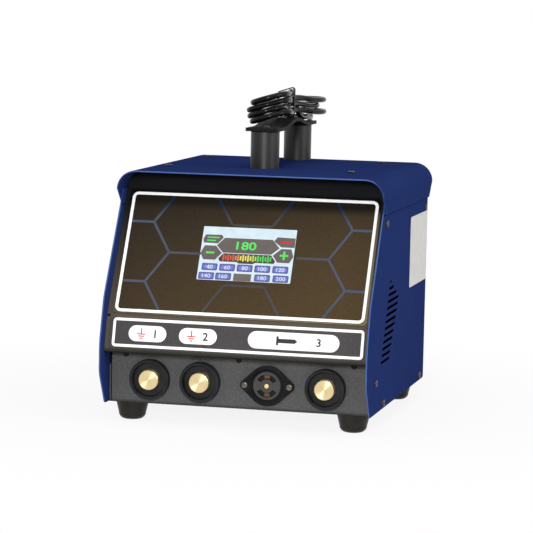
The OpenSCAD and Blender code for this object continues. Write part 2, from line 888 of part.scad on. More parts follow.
module breaker_body() {
  color("dimgray") on_rear(breaker_x, switch_h) difference() {
    union() {
      translate([0, 0, -sheet - breaker_d]) block(breaker_w, breaker_h, breaker_d);
      translate([0, 0, -sheet - eps]) cylinder(d = bush_d, h = sheet + bush_out);
      cylinder(d = bush_nut_d, h = bush_nut, $fn = 6);
    }
    translate([0, 0, -button_in - button_gap])
      cylinder(d = button_d + 2 * button_gap, h = button_in + bush_out + past);
  }
}

module breaker_button() {
  color("white") on_rear(breaker_x, switch_h) {
    translate([0, 0, -button_in]) cylinder(d = button_d, h = button_in + bush_out + button_out - bevel);
    translate([0, 0, bush_out + button_out - bevel])
      cylinder(d1 = button_d, d2 = button_d - 2 * bevel, h = bevel);
  }
}

fan_wall = 2;
fan_bore = fan_size - 2 * fan_wall;
fan_hole_in = 4.75;
fan_hole_set = fan_size / 2 - fan_hole_in;
fan_shaft_in = 0.5;
fan_hub_d = 36;
fan_hub_l = 18;
fan_blade_l = 17;
fan_blade_t = 1.6;
fan_blade_n = 7;
fan_blade_lean = 38;
fan_tip_gap = 1.5;
fan_plate = 4;
fan_shaft_d = 3;
fan_strut = 6;
fan_run_gap = 0.4;
guard_wire = 1.8;
guard_rings = 5;
guard_out = 3;

module fan_corners() {
  for (x = [-1, 1], y = [-1, 1]) translate([x * fan_hole_set, y * fan_hole_set, 0]) children();
}

module fan_frame() {
  color("black") on_rear(fan_x, fan_h) translate([0, 0, -sheet - fan_d]) difference() {
    union() {
      difference() {
        block(fan_size, fan_size, fan_d);
        translate([0, 0, -past]) cylinder(d = fan_bore, h = fan_d + 2 * past);
      }
      cylinder(d = fan_hub_d, h = fan_plate);
      for (turn = [0, 90, 180, 270])
        rotate([0, 0, turn + 45]) translate([fan_hub_d / 2 - 1, -fan_strut / 2, 0])
          cube([fan_bore / 2 - fan_hub_d / 2 + 2, fan_strut, fan_plate]);
    }
    translate([0, 0, -past]) cylinder(d = fan_shaft_d + fan_run_gap, h = fan_plate + 2 * past);
    fan_corners() translate([0, 0, -past]) cylinder(d = screw_hole, h = fan_d + 2 * past);
  }
}

module fan_rotor() {
  color("gray") on_rear(fan_x, fan_h) translate([0, 0, -sheet - fan_d]) {
    translate([0, 0, fan_shaft_in]) cylinder(d = fan_shaft_d, h = fan_plate + fan_run_gap);
    translate([0, 0, fan_plate + fan_run_gap]) {
      cylinder(d = fan_hub_d, h = fan_hub_l);
      intersection() {
        for (i = [0:fan_blade_n - 1])
          rotate([0, 0, i * 360 / fan_blade_n])
            translate([fan_hub_d / 2 - 2, 0, fan_hub_l / 2]) rotate([fan_blade_lean, 0, 0])
              translate([0, -fan_blade_l / 2, -fan_blade_t / 2])
                cube([fan_bore / 2, fan_blade_l, fan_blade_t]);
        cylinder(d = fan_bore - 2 * fan_tip_gap, h = fan_hub_l);
      }
    }
  }
}

module fan_guard() {
  ring_step = fan_bore / 2 / guard_rings;
  corner = fan_hole_set * sqrt(2);
  color("silver") on_rear(fan_x, fan_h) {
    translate([0, 0, guard_out]) {
      for (i = [1:guard_rings]) difference() {
        cylinder(r = i * ring_step, h = guard_wire);
        translate([0, 0, -past]) cylinder(r = i * ring_step - guard_wire, h = guard_wire + 2 * past);
      }
      for (turn = [45, 135]) rotate([0, 0, turn])
        translate([-corner, -guard_wire / 2, 0]) cube([2 * corner, guard_wire, guard_wire]);
    }
    fan_corners() difference() {
      cylinder(d = screw_head_d, h = guard_out + guard_wire);
      translate([0, 0, -past]) cylinder(d = screw_hole, h = guard_out - bevel + past);
    }
  }
}

// Power parts inside

board_t = 1.6;
tray_t = 3;
tray_rim = 6;
tray_edge = 3;
tray_side = cap_pitch + cap_d + 2 * tray_edge;
cap_gap = 12;
cap_x = cap_gap + tray_side / 2 - inner_x;
cap_y = -28;
terminal_d = 10;
terminal_h = 4;
terminal_set = 11;
bar_w = 16;
bar_t = 3;
bar_z = floor_z + tray_t + cap_h + terminal_h;
cap_spots = [for (x = [-1, 1], y = [-1, 1]) [cap_x + x * cap_pitch / 2, cap_y + y * cap_pitch / 2]];

module capacitor_tray() {
  color("ivory") translate([cap_x, cap_y, floor_z]) difference() {
    block(tray_side, tray_side, tray_t + tray_rim);
    for (p = cap_spots)
      translate([p[0] - cap_x, p[1] - cap_y, tray_t]) cylinder(d = cap_d + 2 * fit_gap, h = tray_rim + past);
  }
}
module capacitors() {
  color("navy") for (p = cap_spots) translate([p[0], p[1], floor_z + tray_t]) {
    cylinder(d = cap_d, h = cap_h);
    for (s = [-1, 1])
      translate([0, s * terminal_set, cap_h - eps]) cylinder(d = terminal_d, h = terminal_h + eps);
  }
}
module bus_bars() {
  l = cap_pitch + bar_w;
  color("peru") for (row = [-1, 1], s = [-1, 1])
    translate([cap_x, cap_y + row * cap_pitch / 2 + s * terminal_set, bar_z]) block(l, bar_w, bar_t);
}

core_gap = 22;
core_x = inner_x - core_gap - core_w / 2;
core_y = -20;
core_leg = core_w / 6;
coil_out = 15;
coil_gap = 0.3;

module transformer_core() {
  window = core_h - 2 * core_leg;
  color("slategray") translate([core_x, core_y, floor_z]) difference() {
    block(core_w, core_t, core_h);
    for (s = [-1, 1])
      translate([s * 1.5 * core_leg, 0, core_leg]) block(core_leg, core_t + 2 * past, window);
  }
}
module transformer_coil() {
  h = core_h - 2 * core_leg - 2 * coil_gap;
  color("peru") translate([core_x, core_y, floor_z + core_leg + coil_gap]) difference() {
    block(4 * core_leg - 2 * coil_gap, core_t + 2 * coil_out, h);
    translate([0, 0, -past]) block(2 * core_leg + 2 * coil_gap, core_t + 2 * coil_gap, h + 2 * past);
  }
}

sink_x = -62;
sink_y = 95;
sink_plate = 8;
fin_t = 3;

module heat_sink() {
  color("silver") translate([sink_x, sink_y, floor_z]) {
    translate([0, 0, sink_h - sink_plate]) block(sink_l, sink_d, sink_plate);
    for (i = [0:fin_n - 1])
      translate([-sink_l / 2 + fin_t / 2 + i * (sink_l - fin_t) / (fin_n - 1), 0, 0])
        block(fin_t, sink_d, sink_h - sink_plate + eps);
  }
}
rectifier_w = 29;
rectifier_h = 11;
tab_w = 6;
tab_t = 0.8;
tab_h = 9;
module rectifier() {
  color("black") translate([sink_x - sink_l / 4, sink_y, floor_z + sink_h]) {
    block(rectifier_w, rectifier_w, rectifier_h);
    for (x = [-1, 1], y = [-1, 1])
      translate([x * rectifier_w / 3, y * rectifier_w / 3, rectifier_h - eps]) block(tab_t, tab_w, tab_h);
  }
}
thyristor_hex = 31;
thyristor_base = 12;
thyristor_can_d = 24;
thyristor_can = 14;
thyristor_lead_d = 8;
thyristor_lead = 24;
module thyristor() {
  color("silver") translate([sink_x + sink_l / 4, sink_y, floor_z + sink_h]) {
    cylinder(d = thyristor_hex, h = thyristor_base, $fn = 6);
    translate([0, 0, thyristor_base - eps]) cylinder(d = thyristor_can_d, h = thyristor_can);
    translate([0, 0, thyristor_base + thyristor_can - 2 * eps])
      cylinder(d = thyristor_lead_d, h = thyristor_lead);
  }
}

board_out = 12;
board_l = 120;
board_w = 84;
board_y = 10;
board_h = 190;

module control_board() {
  color("darkgreen") translate([-inner_x + board_out, board_y - board_l / 2, board_h - board_w / 2])
    cube([board_t, board_l, board_w]);
}
standoff_set = 5;
standoff_d = 7;
module board_standoffs() {
  half_l = board_l / 2 - standoff_set;
  half_w = board_w / 2 - standoff_set;
  color("gold") for (y = [-1, 1], z = [-1, 1])
    translate([-inner_x, board_y + y * half_l, board_h + z * half_w])
      rotate([0, 90, 0]) cylinder(d = standoff_d, h = board_out, $fn = 6);
}

// Mains cord

gland_d = 16;
gland_nut_d = 25;
gland_out = 7;
gland_in = 10;
gland_nut_h = 5;
relief_l = 24;
relief_ribs = 4;
relief_groove = 0.8;
relief_d = 14;
relief_tip_d = cord_d + 2;

module cord_gland() {
  color("black") on_rear(gland_x, gland_h) {
    translate([0, 0, -sheet - gland_in]) cylinder(d = gland_d, h = sheet + gland_in + eps);
    cylinder(d = gland_nut_d, h = gland_out, $fn = 6);
    translate([0, 0, -sheet - gland_nut_h]) cylinder(d = gland_nut_d, h = gland_nut_h, $fn = 6);
  }
}
// Radius of the relief's taper at a height h, and one rib with the groove after it
function relief_r(h) = (relief_d + (relief_tip_d - relief_d) * h / relief_l) / 2;
function relief_rib(low, l) = [
  [relief_r(low), low],
  [relief_r(low + 0.6 * l), low + 0.6 * l],
  [relief_r(low + 0.7 * l) - relief_groove, low + 0.7 * l],
  [relief_r(low + 0.9 * l) - relief_groove, low + 0.9 * l]
];
module strain_relief() {
  rib = relief_l / relief_ribs;
  color("black") on_rear(gland_x, gland_h) translate([0, 0, gland_out]) rotate_extrude() polygon(concat(
    [[0, 0]],
    [for (i = [0:relief_ribs - 1]) each relief_rib(i * rib, rib)],
    [[relief_tip_d / 2, relief_l], [0, relief_l]]
  ));
}

// Sweeps a tube of n sides along points p, with ring corners set from the direction ref.
function heading(p, i) = unit(p[min(i + 1, len(p) - 1)] - p[max(i - 1, 0)]);
function tube_ring(p, i, r, n, ref) =
  let (
    t = heading(p, i),
    e1 = unit(ref - (ref * t) * t),
    e2 = cross(t, e1)
  )
  [for (k = [0:n - 1]) p[i] + r * (cos(360 * k / n) * e1 + sin(360 * k / n) * e2)];
module tube(p, d, n, ref) {
  rings = len(p);
  points = [for (i = [0:rings - 1]) each tube_ring(p, i, d / 2, n, ref)];
  sides = [
    for (i = [0:rings - 2], k = [0:n - 1])
      let (a = i * n + k, b = i * n + (k + 1) % n)
      each [[a, a + n, b], [b, a + n, b + n]]
  ];
  start = [for (k = [1:n - 2]) [0, k, k + 1]];
  last = (rings - 1) * n;
  end = [for (k = [1:n - 2]) [last, last + k + 1, last + k]];
  polyhedron(points = points, faces = concat(sides, start, end));
}

// The hank: loops, one to a layer, that climb along one run, lie on the strap and follow its bow;
// they stray in reach and sideways from one to the next, and their front folds tilt up to the right
loop_rings = 24;
front_folds = 4;
first_s = 0.125;
tie_s = front_folds - 0.375;
tie_t = 1.2;
tie_gap = 0.4;
tie_round = 2;
hank_x = -5.5;
hank_skew = 0.05;
hank_rear = run_half + fold_r + cord_d / 2 + 2;
hank_tilt = 0.3;
entry_half = 9.5;
sway_w = 5;
sway_turn = 150;
stray_share = 0.035;
stray_turn = 250;
hank_z = strap_top + tie_t + 2 * tie_gap + cord_d / 2;
function ease(t) = (1 - cos(180 * min(1, max(0, t)))) / 2;
function half_width(u, straight) =
  waist_half + ((straight ? entry_half : fold_r) - waist_half) * ease(abs(u) / run_half);
function layer(s) = floor(s) + ease(4 * (s - floor(s)) - 2);
function lift(u, s) = layer(s) * (layer_pitch + layer_fan * ease(-u / run_half));
function on_hank(u, v, up) = [hank_x + hank_skew * u + v, handle_y + u, hank_z + bow(u) + up];
function sway(u, s) = sway_w * sin(sway_turn * s) * ease(abs(u) / run_half);
function stray(s) = 1 + stray_share * sin(stray_turn * s);
function tilt(u, v) = hank_tilt * (v + fold_r) * ease(-u / run_half);
function at_hank(u, v, s) =
  let (a = u * stray(s), b = v + sway(u, s))
  on_hank(a, b, lift(a, s) + tilt(a, b));
function hank_point(s) =
  let (
    f = 4 * (s - floor(s)),
    out = run_half * (1 - 2 * f),
    back = run_half * (2 * f - 5),
    turn = 180 * (f - floor(f))
  )
  f < 1 ? at_hank(out, -half_width(out, s < first_s), s) :
  f < 2 ? at_hank(-run_half - fold_r * sin(turn), -fold_r * cos(turn), s) :
  f < 3 ? at_hank(back, half_width(back, false), s) :
  at_hank(run_half + fold_r * sin(turn), fold_r * cos(turn), s);

// The last run leaves the tie, drops between the loops and passes out under the rear folds
drop_from = 8;
drop_in = 28;
drop_steps = 8;
function last_run(u) = on_hank(
  u,
  waist_half * (1 - ease(u / drop_in)),
  lift(0, tie_s) * (1 - ease((u - drop_from) / (run_half - drop_from)))
);
hank_line = concat(
  [at_hank(hank_rear, -entry_half, 0), at_hank(hank_rear - cord_d, -entry_half, 0)],
  [for (i = [0:loop_rings * tie_s]) hank_point(i / loop_rings)],
  [for (i = [1:drop_steps]) last_run(i * run_half / drop_steps)],
  [last_run(hank_rear - cord_d), last_run(hank_rear)]
);
hank_near = 3;
hank_gaps = [
  for (i = [0:len(hank_line) - 1], j = [i + hank_near:1:len(hank_line) - 1])
    norm(hank_line[i] - hank_line[j]) - cord_d
];
echo("Least gap of the hank to itself", min(hank_gaps));

module cord_hank() {
  color("black") tube(hank_line, cord_d, 6, [0, 0, 1]);
}

// A tie band round the hank's waist, lying on the strap; its top slopes with the last layer
tie_w = 5;
tie_low = cord_d / 2 + tie_gap;
tie_half = waist_half + cord_d / 2 + tie_gap;
tie_left = lift(0, tie_s - 0.5);
tie_right = lift(0, tie_s);
tie_slope = (tie_right - tie_left) / (2 * waist_half);
function tie_top(v, out) =
  (tie_left + tie_right) / 2 + tie_slope * v + (cord_d / 2 + tie_gap + out) * norm([1, tie_slope]);
module tie_shape(out) {
  translate([hank_x, handle_y + tie_w / 2, hank_z + bow(0)]) rotate([90, 0, 0])
    linear_extrude(tie_w) polygon(rounded([
      [-tie_half - out, -tie_low - out, tie_round + out],
      [tie_half + out, -tie_low - out, tie_round + out],
      [tie_half + out, tie_top(tie_half + out, out), tie_round + out],
      [-tie_half - out, tie_top(-tie_half - out, out), tie_round + out]
    ]));
}
module cord_tie() {
  color("black") difference() {
    tie_shape(tie_t);
    for (s = [-1, 1]) translate([0, s * tie_w / 2, 0]) tie_shape(0);
  }
}

// Routes of the free stretches: each point's place across, its distance behind the hood
// and its share of the climb between the stretch's lower and upper end
relief_tip_y = rear_y + gland_out + relief_l;
lead_route = [
  [-40, 26, 0.01], [-40, 36, 0.04], [-39, 43, 0.09], [-37, 47, 0.15], [-35, 49, 0.23], [-33, 49, 0.32],
  [-31, 49, 0.41], [-29, 49, 0.5], [-28, 49, 0.59], [-27, 48, 0.68], [-26, 46, 0.76], [-24, 41, 0.84],
  [-21, 33, 0.91], [-17, 23, 0.96], [-13, 12, 0.99]
];
tail_route = [
  [-2, 12, 0.99], [-5, 22, 0.965], [-8.5, 31, 0.92], [-11.5, 38.5, 0.855], [-13.5, 43.5, 0.775],
  [-14, 46.5, 0.69], [-14, 48, 0.6], [-14, 48, 0.5], [-14, 48, 0.4], [-14, 48, 0.3], [-14, 48, 0.2],
  [-14, 48, 0.12]
];
tail_x = -14;
tail_out = 48;
tail_low = 190;
tail_end = [tail_x, hood_rear_y + tail_out, tail_low];
function along(route, low) = [
  for (p = route) [p[0], hood_rear_y + p[1], low + (hank_z - low) * p[2]]
];
lead_line = concat(
  [[gland_x, relief_tip_y, gland_h], [gland_x, relief_tip_y + cord_d, gland_h]],
  along(lead_route, gland_h),
  [at_hank(hank_rear + cord_d, -entry_half, 0), at_hank(hank_rear, -entry_half, 0)]
);
tail_line = concat(
  [last_run(hank_rear), last_run(hank_rear + cord_d)],
  along(tail_route, tail_low),
  [tail_end + [0, 0, cord_d], tail_end]
);
module cord_lead() {
  color("black") tube(lead_line, cord_d, 10, [1, 0, 0]);
}
module cord_tail() {
  color("black") tube(tail_line, cord_d, 10, [1, 0, 0]);
}

plug_w = 26;
plug_l = 34;
plug_neck_l = 26;
plug_neck_d = 14;
plug_grip = 0.7;
plug_set = 3;
earth_out = 2;
blade_l = 16;
blade_w = 6.3;
blade_t = 1.5;
blade_gap = 12.7;
earth_d = 4.8;
earth_set = 11.9;

module plug_body() {
  color("black") translate(tail_end) {
    translate([0, 0, -plug_neck_l]) cylinder(d1 = plug_neck_d, d2 = cord_d + 2, h = plug_neck_l);
    translate([0, 0, -plug_neck_l - plug_l]) {
      cylinder(d = plug_w, h = plug_l * plug_grip);
      translate([0, 0, plug_l * plug_grip])
        cylinder(d1 = plug_w, d2 = plug_neck_d, h = plug_l * (1 - plug_grip) + eps);
    }
  }
}
module plug_blades() {
  color("silver") translate(tail_end - [0, 0, plug_neck_l + plug_l + blade_l]) {
    for (s = [-1, 1])
      translate([s * blade_gap / 2, plug_set, 0]) block(blade_t, blade_w, blade_l);
    translate([0, plug_set - earth_set, -earth_out]) cylinder(d = earth_d, h = blade_l + earth_out);
  }
}

base_pan();
lower_front_panel();
front_panel();
face_film();
strip_film();
touch_screen();
display_board();
side_panel_left();
side_panel_right();
hood();
rear_panel();
foot_front_left();
foot_front_right();
foot_rear_left();
foot_rear_right();
foot_screws();
side_screws();
hood_screws();
lower_panel_screws();
socket_ring_ground_a();
socket_ring_ground_b();
socket_ring_gun();
brass_stud_ground_a();
brass_stud_ground_b();
brass_stud_gun();
stud_nuts();
control_receptacle();
control_insert();
control_contacts();
control_screws_pair();
handle_post_front();
handle_post_rear();
handle_strap();
handle_bolts();
handle_nuts();
switch_housing();
power_rocker();
breaker_body();
breaker_button();
fan_frame();
fan_rotor();
fan_guard();
capacitors();
capacitor_tray();
bus_bars();
transformer_core();
transformer_coil();
heat_sink();
rectifier();
thyristor();
control_board();
board_standoffs();
cord_gland();
strain_relief();
cord_lead();
cord_hank();
cord_tail();
cord_tie();
plug_body();
plug_blades();
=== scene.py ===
import json
import math

import bmesh
import bpy
from mathutils import Matrix, Vector


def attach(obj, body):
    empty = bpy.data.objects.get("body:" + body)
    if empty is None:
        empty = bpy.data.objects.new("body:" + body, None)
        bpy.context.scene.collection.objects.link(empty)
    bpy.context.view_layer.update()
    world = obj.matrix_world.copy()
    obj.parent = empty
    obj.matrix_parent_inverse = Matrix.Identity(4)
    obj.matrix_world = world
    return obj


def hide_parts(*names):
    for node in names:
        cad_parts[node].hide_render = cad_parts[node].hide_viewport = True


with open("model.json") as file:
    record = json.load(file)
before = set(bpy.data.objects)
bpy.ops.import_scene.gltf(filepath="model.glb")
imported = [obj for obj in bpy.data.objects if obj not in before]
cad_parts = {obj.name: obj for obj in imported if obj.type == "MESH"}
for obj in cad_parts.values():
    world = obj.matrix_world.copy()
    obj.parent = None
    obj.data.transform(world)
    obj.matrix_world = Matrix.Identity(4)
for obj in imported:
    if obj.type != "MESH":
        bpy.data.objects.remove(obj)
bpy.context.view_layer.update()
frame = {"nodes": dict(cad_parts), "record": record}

nodes = frame["nodes"]
slot_of = {part["node"]: part["material_slot"] for part in frame["record"]["subparts"]}
MM = 0.001

# Driving places of the case, as in the part's source
case_w = 305
case_d = 345.5
case_h = 280.5
hood_over = 19
hood_drop = 39.5
rear_set = 2
bend_set = 23.6
bend_h = 120.5
face_lean = 28
strip_lean = 14.2
strip_low = 80
low_set = 34.9
foot_h = 21
socket_h = 49
control_x = 33.5
insert_h = 4.7
film_t = 0.5
screen_w = 108
screen_h = 64.8
screen_up = 80
handle_x = -10
handle_y = 77.75
strap_top = 327.8

# Places that follow from them
side_x = case_w / 2
knee_y = -(case_d + hood_over) / 2
side_rear_y = knee_y + case_d
hood_rear_y = side_rear_y + hood_over
rear_y = side_rear_y - rear_set
bend_y = knee_y + bend_set
low_y = knee_y + low_set
skirt_low = case_h - hood_drop


def link(obj):
    bpy.context.scene.collection.objects.link(obj)
    return obj


# Camera, at the photo's viewing angle
def add_camera():
    yaw = math.radians(13.66)
    pitch = math.radians(6.28)
    roll = math.radians(1.21)
    distance = 2884.9
    target = Vector((31.6, -157.15, 183.2))
    back = Vector((math.sin(yaw) * math.cos(pitch), -math.cos(yaw) * math.cos(pitch), math.sin(pitch)))
    right = Vector((0, 0, 1)).cross(back).normalized()
    up = back.cross(right)
    tilted_right = right * math.cos(roll) + up * math.sin(roll)
    tilted_up = up * math.cos(roll) - right * math.sin(roll)
    place = Matrix((tilted_right, tilted_up, back)).transposed().to_4x4()
    place.translation = (target + back * distance) * MM
    lens = bpy.data.cameras.new("photo_camera")
    lens.sensor_width = 36
    lens.lens = 176.6
    lens.clip_end = 200
    camera = link(bpy.data.objects.new("photo_camera", lens))
    camera.matrix_world = place
    bpy.context.scene.camera = camera


add_camera()

# Mains lead: up from the gland, folded on the handle in flat loops, and down to its plug
cord_d = 6.5
fold_r = 20.5
run_half = 74
waist_half = 5.5
entry_half = 9.5
layer_pitch = 7.2
hank_tilt = 0.3
sway_w = 5
sway_turn = 150
stray_share = 0.035
stray_turn = 250
loop_rings = 24
first_s = 0.125
tie_s = 3.625
hank_x = -5.5
hank_skew = 0.05
hank_room = 2
hank_rear = run_half + fold_r + cord_d / 2 + hank_room
hank_z = strap_top + hank_room + cord_d / 2
bow_half = 66.3
strap_rise = 8
drop_from = 8
drop_in = 28
drop_steps = 8
gland_x = -40
gland_h = 160
relief_out = 31
relief_tip_y = rear_y + relief_out
tail_x = -14
tail_out = 48
tail_low = 190
tail_end = (tail_x, hood_rear_y + tail_out, tail_low)

# Points listed one by one: across, behind the hood, and the share of the way up to the hank
lead_route = [
    (-40, 26, 0.01), (-40, 36, 0.04), (-39, 43, 0.09), (-37, 47, 0.15), (-35, 49, 0.23), (-33, 49, 0.32),
    (-31, 49, 0.41), (-29, 49, 0.5), (-28, 49, 0.59), (-27, 48, 0.68), (-26, 46, 0.76), (-24, 41, 0.84),
    (-21, 33, 0.91), (-17, 23, 0.96), (-13, 12, 0.99),
]
tail_route = [
    (-2, 12, 0.99), (-5, 22, 0.965), (-8.5, 31, 0.92), (-11.5, 38.5, 0.855), (-13.5, 43.5, 0.775),
    (-14, 46.5, 0.69), (-14, 48, 0.6), (-14, 48, 0.5), (-14, 48, 0.4), (-14, 48, 0.3), (-14, 48, 0.2),
    (-14, 48, 0.12),
]


def ease(t):
    """Goes softly from 0 to 1."""
    return (1 - math.cos(math.pi * min(1, max(0, t)))) / 2


def bow(u):
    """Height of the strap's bow between the posts."""
    if abs(u) >= bow_half:
        return 0
    return strap_rise * (1 + math.cos(math.pi * u / bow_half)) / 2


def half_width(u, straight):
    """Half the gap between the two runs of a loop, narrow at the tie."""
    end = entry_half if straight else fold_r
    return waist_half + (end - waist_half) * ease(abs(u) / run_half)


def lift(s):
    """Height of the loop s, which climbs by one layer in each third quarter."""
    layer = math.floor(s) + ease(4 * (s - math.floor(s)) - 2)
    return layer * layer_pitch


def on_hank(u, v, up):
    return (hank_x + hank_skew * u + v, handle_y + u, hank_z + bow(u) + up)


def at_hank(u, v, s):
    """A place on the hank, where each loop strays in reach and sideways and the front folds tilt."""
    a = u * (1 + stray_share * math.sin(math.radians(stray_turn * s)))
    b = v + sway_w * math.sin(math.radians(sway_turn * s)) * ease(abs(u) / run_half)
    return on_hank(a, b, lift(s) + hank_tilt * (b + fold_r) * ease(-a / run_half))


def hank_point(s):
    """The point at loop s: a run to the front, the front fold, a run back and the rear fold."""
    quarter = 4 * (s - math.floor(s))
    turn = math.pi * (quarter - math.floor(quarter))
    if quarter < 1:
        out = run_half * (1 - 2 * quarter)
        return at_hank(out, -half_width(out, s < first_s), s)
    if quarter < 2:
        return at_hank(-run_half - fold_r * math.sin(turn), -fold_r * math.cos(turn), s)
    if quarter < 3:
        back = run_half * (2 * quarter - 5)
        return at_hank(back, half_width(back, False), s)
    return at_hank(run_half + fold_r * math.sin(turn), fold_r * math.cos(turn), s)


def last_run(u):
    """The last run, from the tie to the rear, sinking to the lowest layer."""
    sink = 1 - ease((u - drop_from) / (run_half - drop_from))
    return on_hank(u, waist_half * (1 - ease(u / drop_in)), lift(tie_s) * sink)


def along(route, low):
    return [(x, hood_rear_y + behind, low + (hank_z - low) * share) for x, behind, share in route]


def cord_points():
    points = [(gland_x, relief_tip_y, gland_h), (gland_x, relief_tip_y + cord_d, gland_h)]
    points += along(lead_route, gland_h)
    points += [at_hank(hank_rear + shift * cord_d, -entry_half, 0) for shift in (1, 0, -1)]
    points += [hank_point(ring / loop_rings) for ring in range(int(loop_rings * tie_s) + 1)]
    points += [last_run(step * run_half / drop_steps) for step in range(1, drop_steps + 1)]
    points += [last_run(hank_rear + shift * cord_d) for shift in (-1, 0, 1)]
    points += along(tail_route, tail_low)
    points += [(tail_end[0], tail_end[1], tail_low + cord_d), tail_end]
    return points


def add_cord():
    curve = bpy.data.curves.new("mains_lead", "CURVE")
    curve.dimensions = "3D"
    curve.bevel_depth = cord_d / 2 * MM
    curve.bevel_resolution = 6
    curve.resolution_u = 6
    curve.use_fill_caps = True
    points = cord_points()
    spline = curve.splines.new("BEZIER")
    spline.bezier_points.add(len(points) - 1)
    for spot, knot in zip(points, spline.bezier_points):
        knot.co = Vector(spot) * MM
        knot.handle_left_type = "AUTO"
        knot.handle_right_type = "AUTO"
    return link(bpy.data.objects.new("mains_lead", curve))


mains_lead = add_cord()


# Colours

def srgb(red, green, blue):
    """Turns a colour of 0 to 255 into Blender's linear values."""
    shares = [value / 255 for value in (red, green, blue)]
    return [share / 12.92 if share <= 0.04045 else ((share + 0.055) / 1.055) ** 2.4 for share in shares]


def times(colour, factor):
    """A colour made lighter or darker."""
    return [min(1, value * factor) for value in colour]


def opaque(colour):
    return list(colour) + [1]


# Building blocks of the materials
grain_low = 0.32
grain_high = 0.68
gloss_low = 0.3
gloss_high = 0.7
edge_starts = 0.995
edge_full = 0.8
least_rough = 0.05


def place_on_part(tree, output="Object"):
    """Each point's place in the part's frame, or its normal there."""
    return tree.nodes.new("ShaderNodeTexCoord").outputs[output]


def axis_share(tree, vector, axis):
    """A vector's share along X, Y or Z."""
    split = tree.nodes.new("ShaderNodeSeparateXYZ")
    tree.links.new(vector, split.inputs["Vector"])
    return split.outputs[axis]


def measured(tree, vector, operation, other):
    """A vector's dot product with a fixed one, or its distance from it."""
    measure = tree.nodes.new("ShaderNodeVectorMath")
    measure.operation = operation
    measure.inputs[1].default_value = other
    tree.links.new(vector, measure.inputs[0])
    return measure.outputs["Value"]


def combined(tree, operation, *values):
    """The result of a math operation on one or two values."""
    joined = tree.nodes.new("ShaderNodeMath")
    joined.operation = operation
    for value, entry in zip(values, joined.inputs):
        tree.links.new(value, entry)
    return joined.outputs["Value"]


def mapped(tree, value, start, end, first=0.0, last=1.0):
    """Goes from first to last as a value goes from start to end, up or down."""
    share = tree.nodes.new("ShaderNodeMapRange")
    share.inputs["From Min"].default_value = start
    share.inputs["From Max"].default_value = end
    share.inputs["To Min"].default_value = first
    share.inputs["To Max"].default_value = last
    tree.links.new(value, share.inputs["Value"])
    return share.outputs["Result"]


def by_height(tree, none_at, full_at):
    """Goes from 0 at one height above the floor to 1 at another."""
    height = axis_share(tree, place_on_part(tree), "Z")
    return mapped(tree, height, none_at * MM, full_at * MM)


def ramped(tree, factor, first, last, start=0.0, end=1.0):
    """A colour that turns from first to last as a factor goes from start to end."""
    ramp = tree.nodes.new("ShaderNodeValToRGB")
    for element, position, colour in zip(ramp.color_ramp.elements, (start, end), (first, last)):
        element.position = position
        element.color = opaque(colour)
    tree.links.new(factor, ramp.inputs["Fac"])
    return ramp.outputs["Color"]


def blended(tree, base, factor, colour):
    """A base colour that turns into another one as a factor goes to 1."""
    mix = tree.nodes.new("ShaderNodeMix")
    mix.data_type = "RGBA"
    mix.inputs["B"].default_value = opaque(colour)
    tree.links.new(factor, mix.inputs["Factor"])
    tree.links.new(base, mix.inputs["A"])
    return mix.outputs["Result"]


def multiplied(tree, base, colour):
    """The product of two colours that vary."""
    mix = tree.nodes.new("ShaderNodeMix")
    mix.data_type = "RGBA"
    mix.blend_type = "MULTIPLY"
    mix.inputs["Factor"].default_value = 1
    tree.links.new(base, mix.inputs["A"])
    tree.links.new(colour, mix.inputs["B"])
    return mix.outputs["Result"]


def grain(tree, scale, stretch=(1, 1, 1)):
    """Noise that stays fixed to the part."""
    spread = tree.nodes.new("ShaderNodeMapping")
    spread.inputs["Scale"].default_value = stretch
    noise = tree.nodes.new("ShaderNodeTexNoise")
    noise.inputs["Scale"].default_value = scale
    noise.inputs["Detail"].default_value = 3
    tree.links.new(place_on_part(tree), spread.inputs["Vector"])
    tree.links.new(spread.outputs["Vector"], noise.inputs["Vector"])
    return noise.outputs["Fac"]


def tinted(tree, factor, colour, tint):
    """A colour that varies a little with a factor."""
    return ramped(tree, factor, times(colour, 1 - tint), times(colour, 1 + tint), grain_low, grain_high)


def worn(tree, base, soft_normal, pale, wear):
    """Turns a colour paler where the softened normal leaves the flat one, along the edges."""
    flat = tree.nodes.new("ShaderNodeNewGeometry")
    match = tree.nodes.new("ShaderNodeVectorMath")
    match.operation = "DOT_PRODUCT"
    tree.links.new(soft_normal, match.inputs[0])
    tree.links.new(flat.outputs["Normal"], match.inputs[1])
    at_edge = mapped(tree, match.outputs["Value"], edge_starts, edge_full, 0, wear)
    return blended(tree, base, at_edge, pale)


def base_input(material):
    return material.node_tree.nodes["Principled BSDF"].inputs["Base Color"]


# Kinds of material

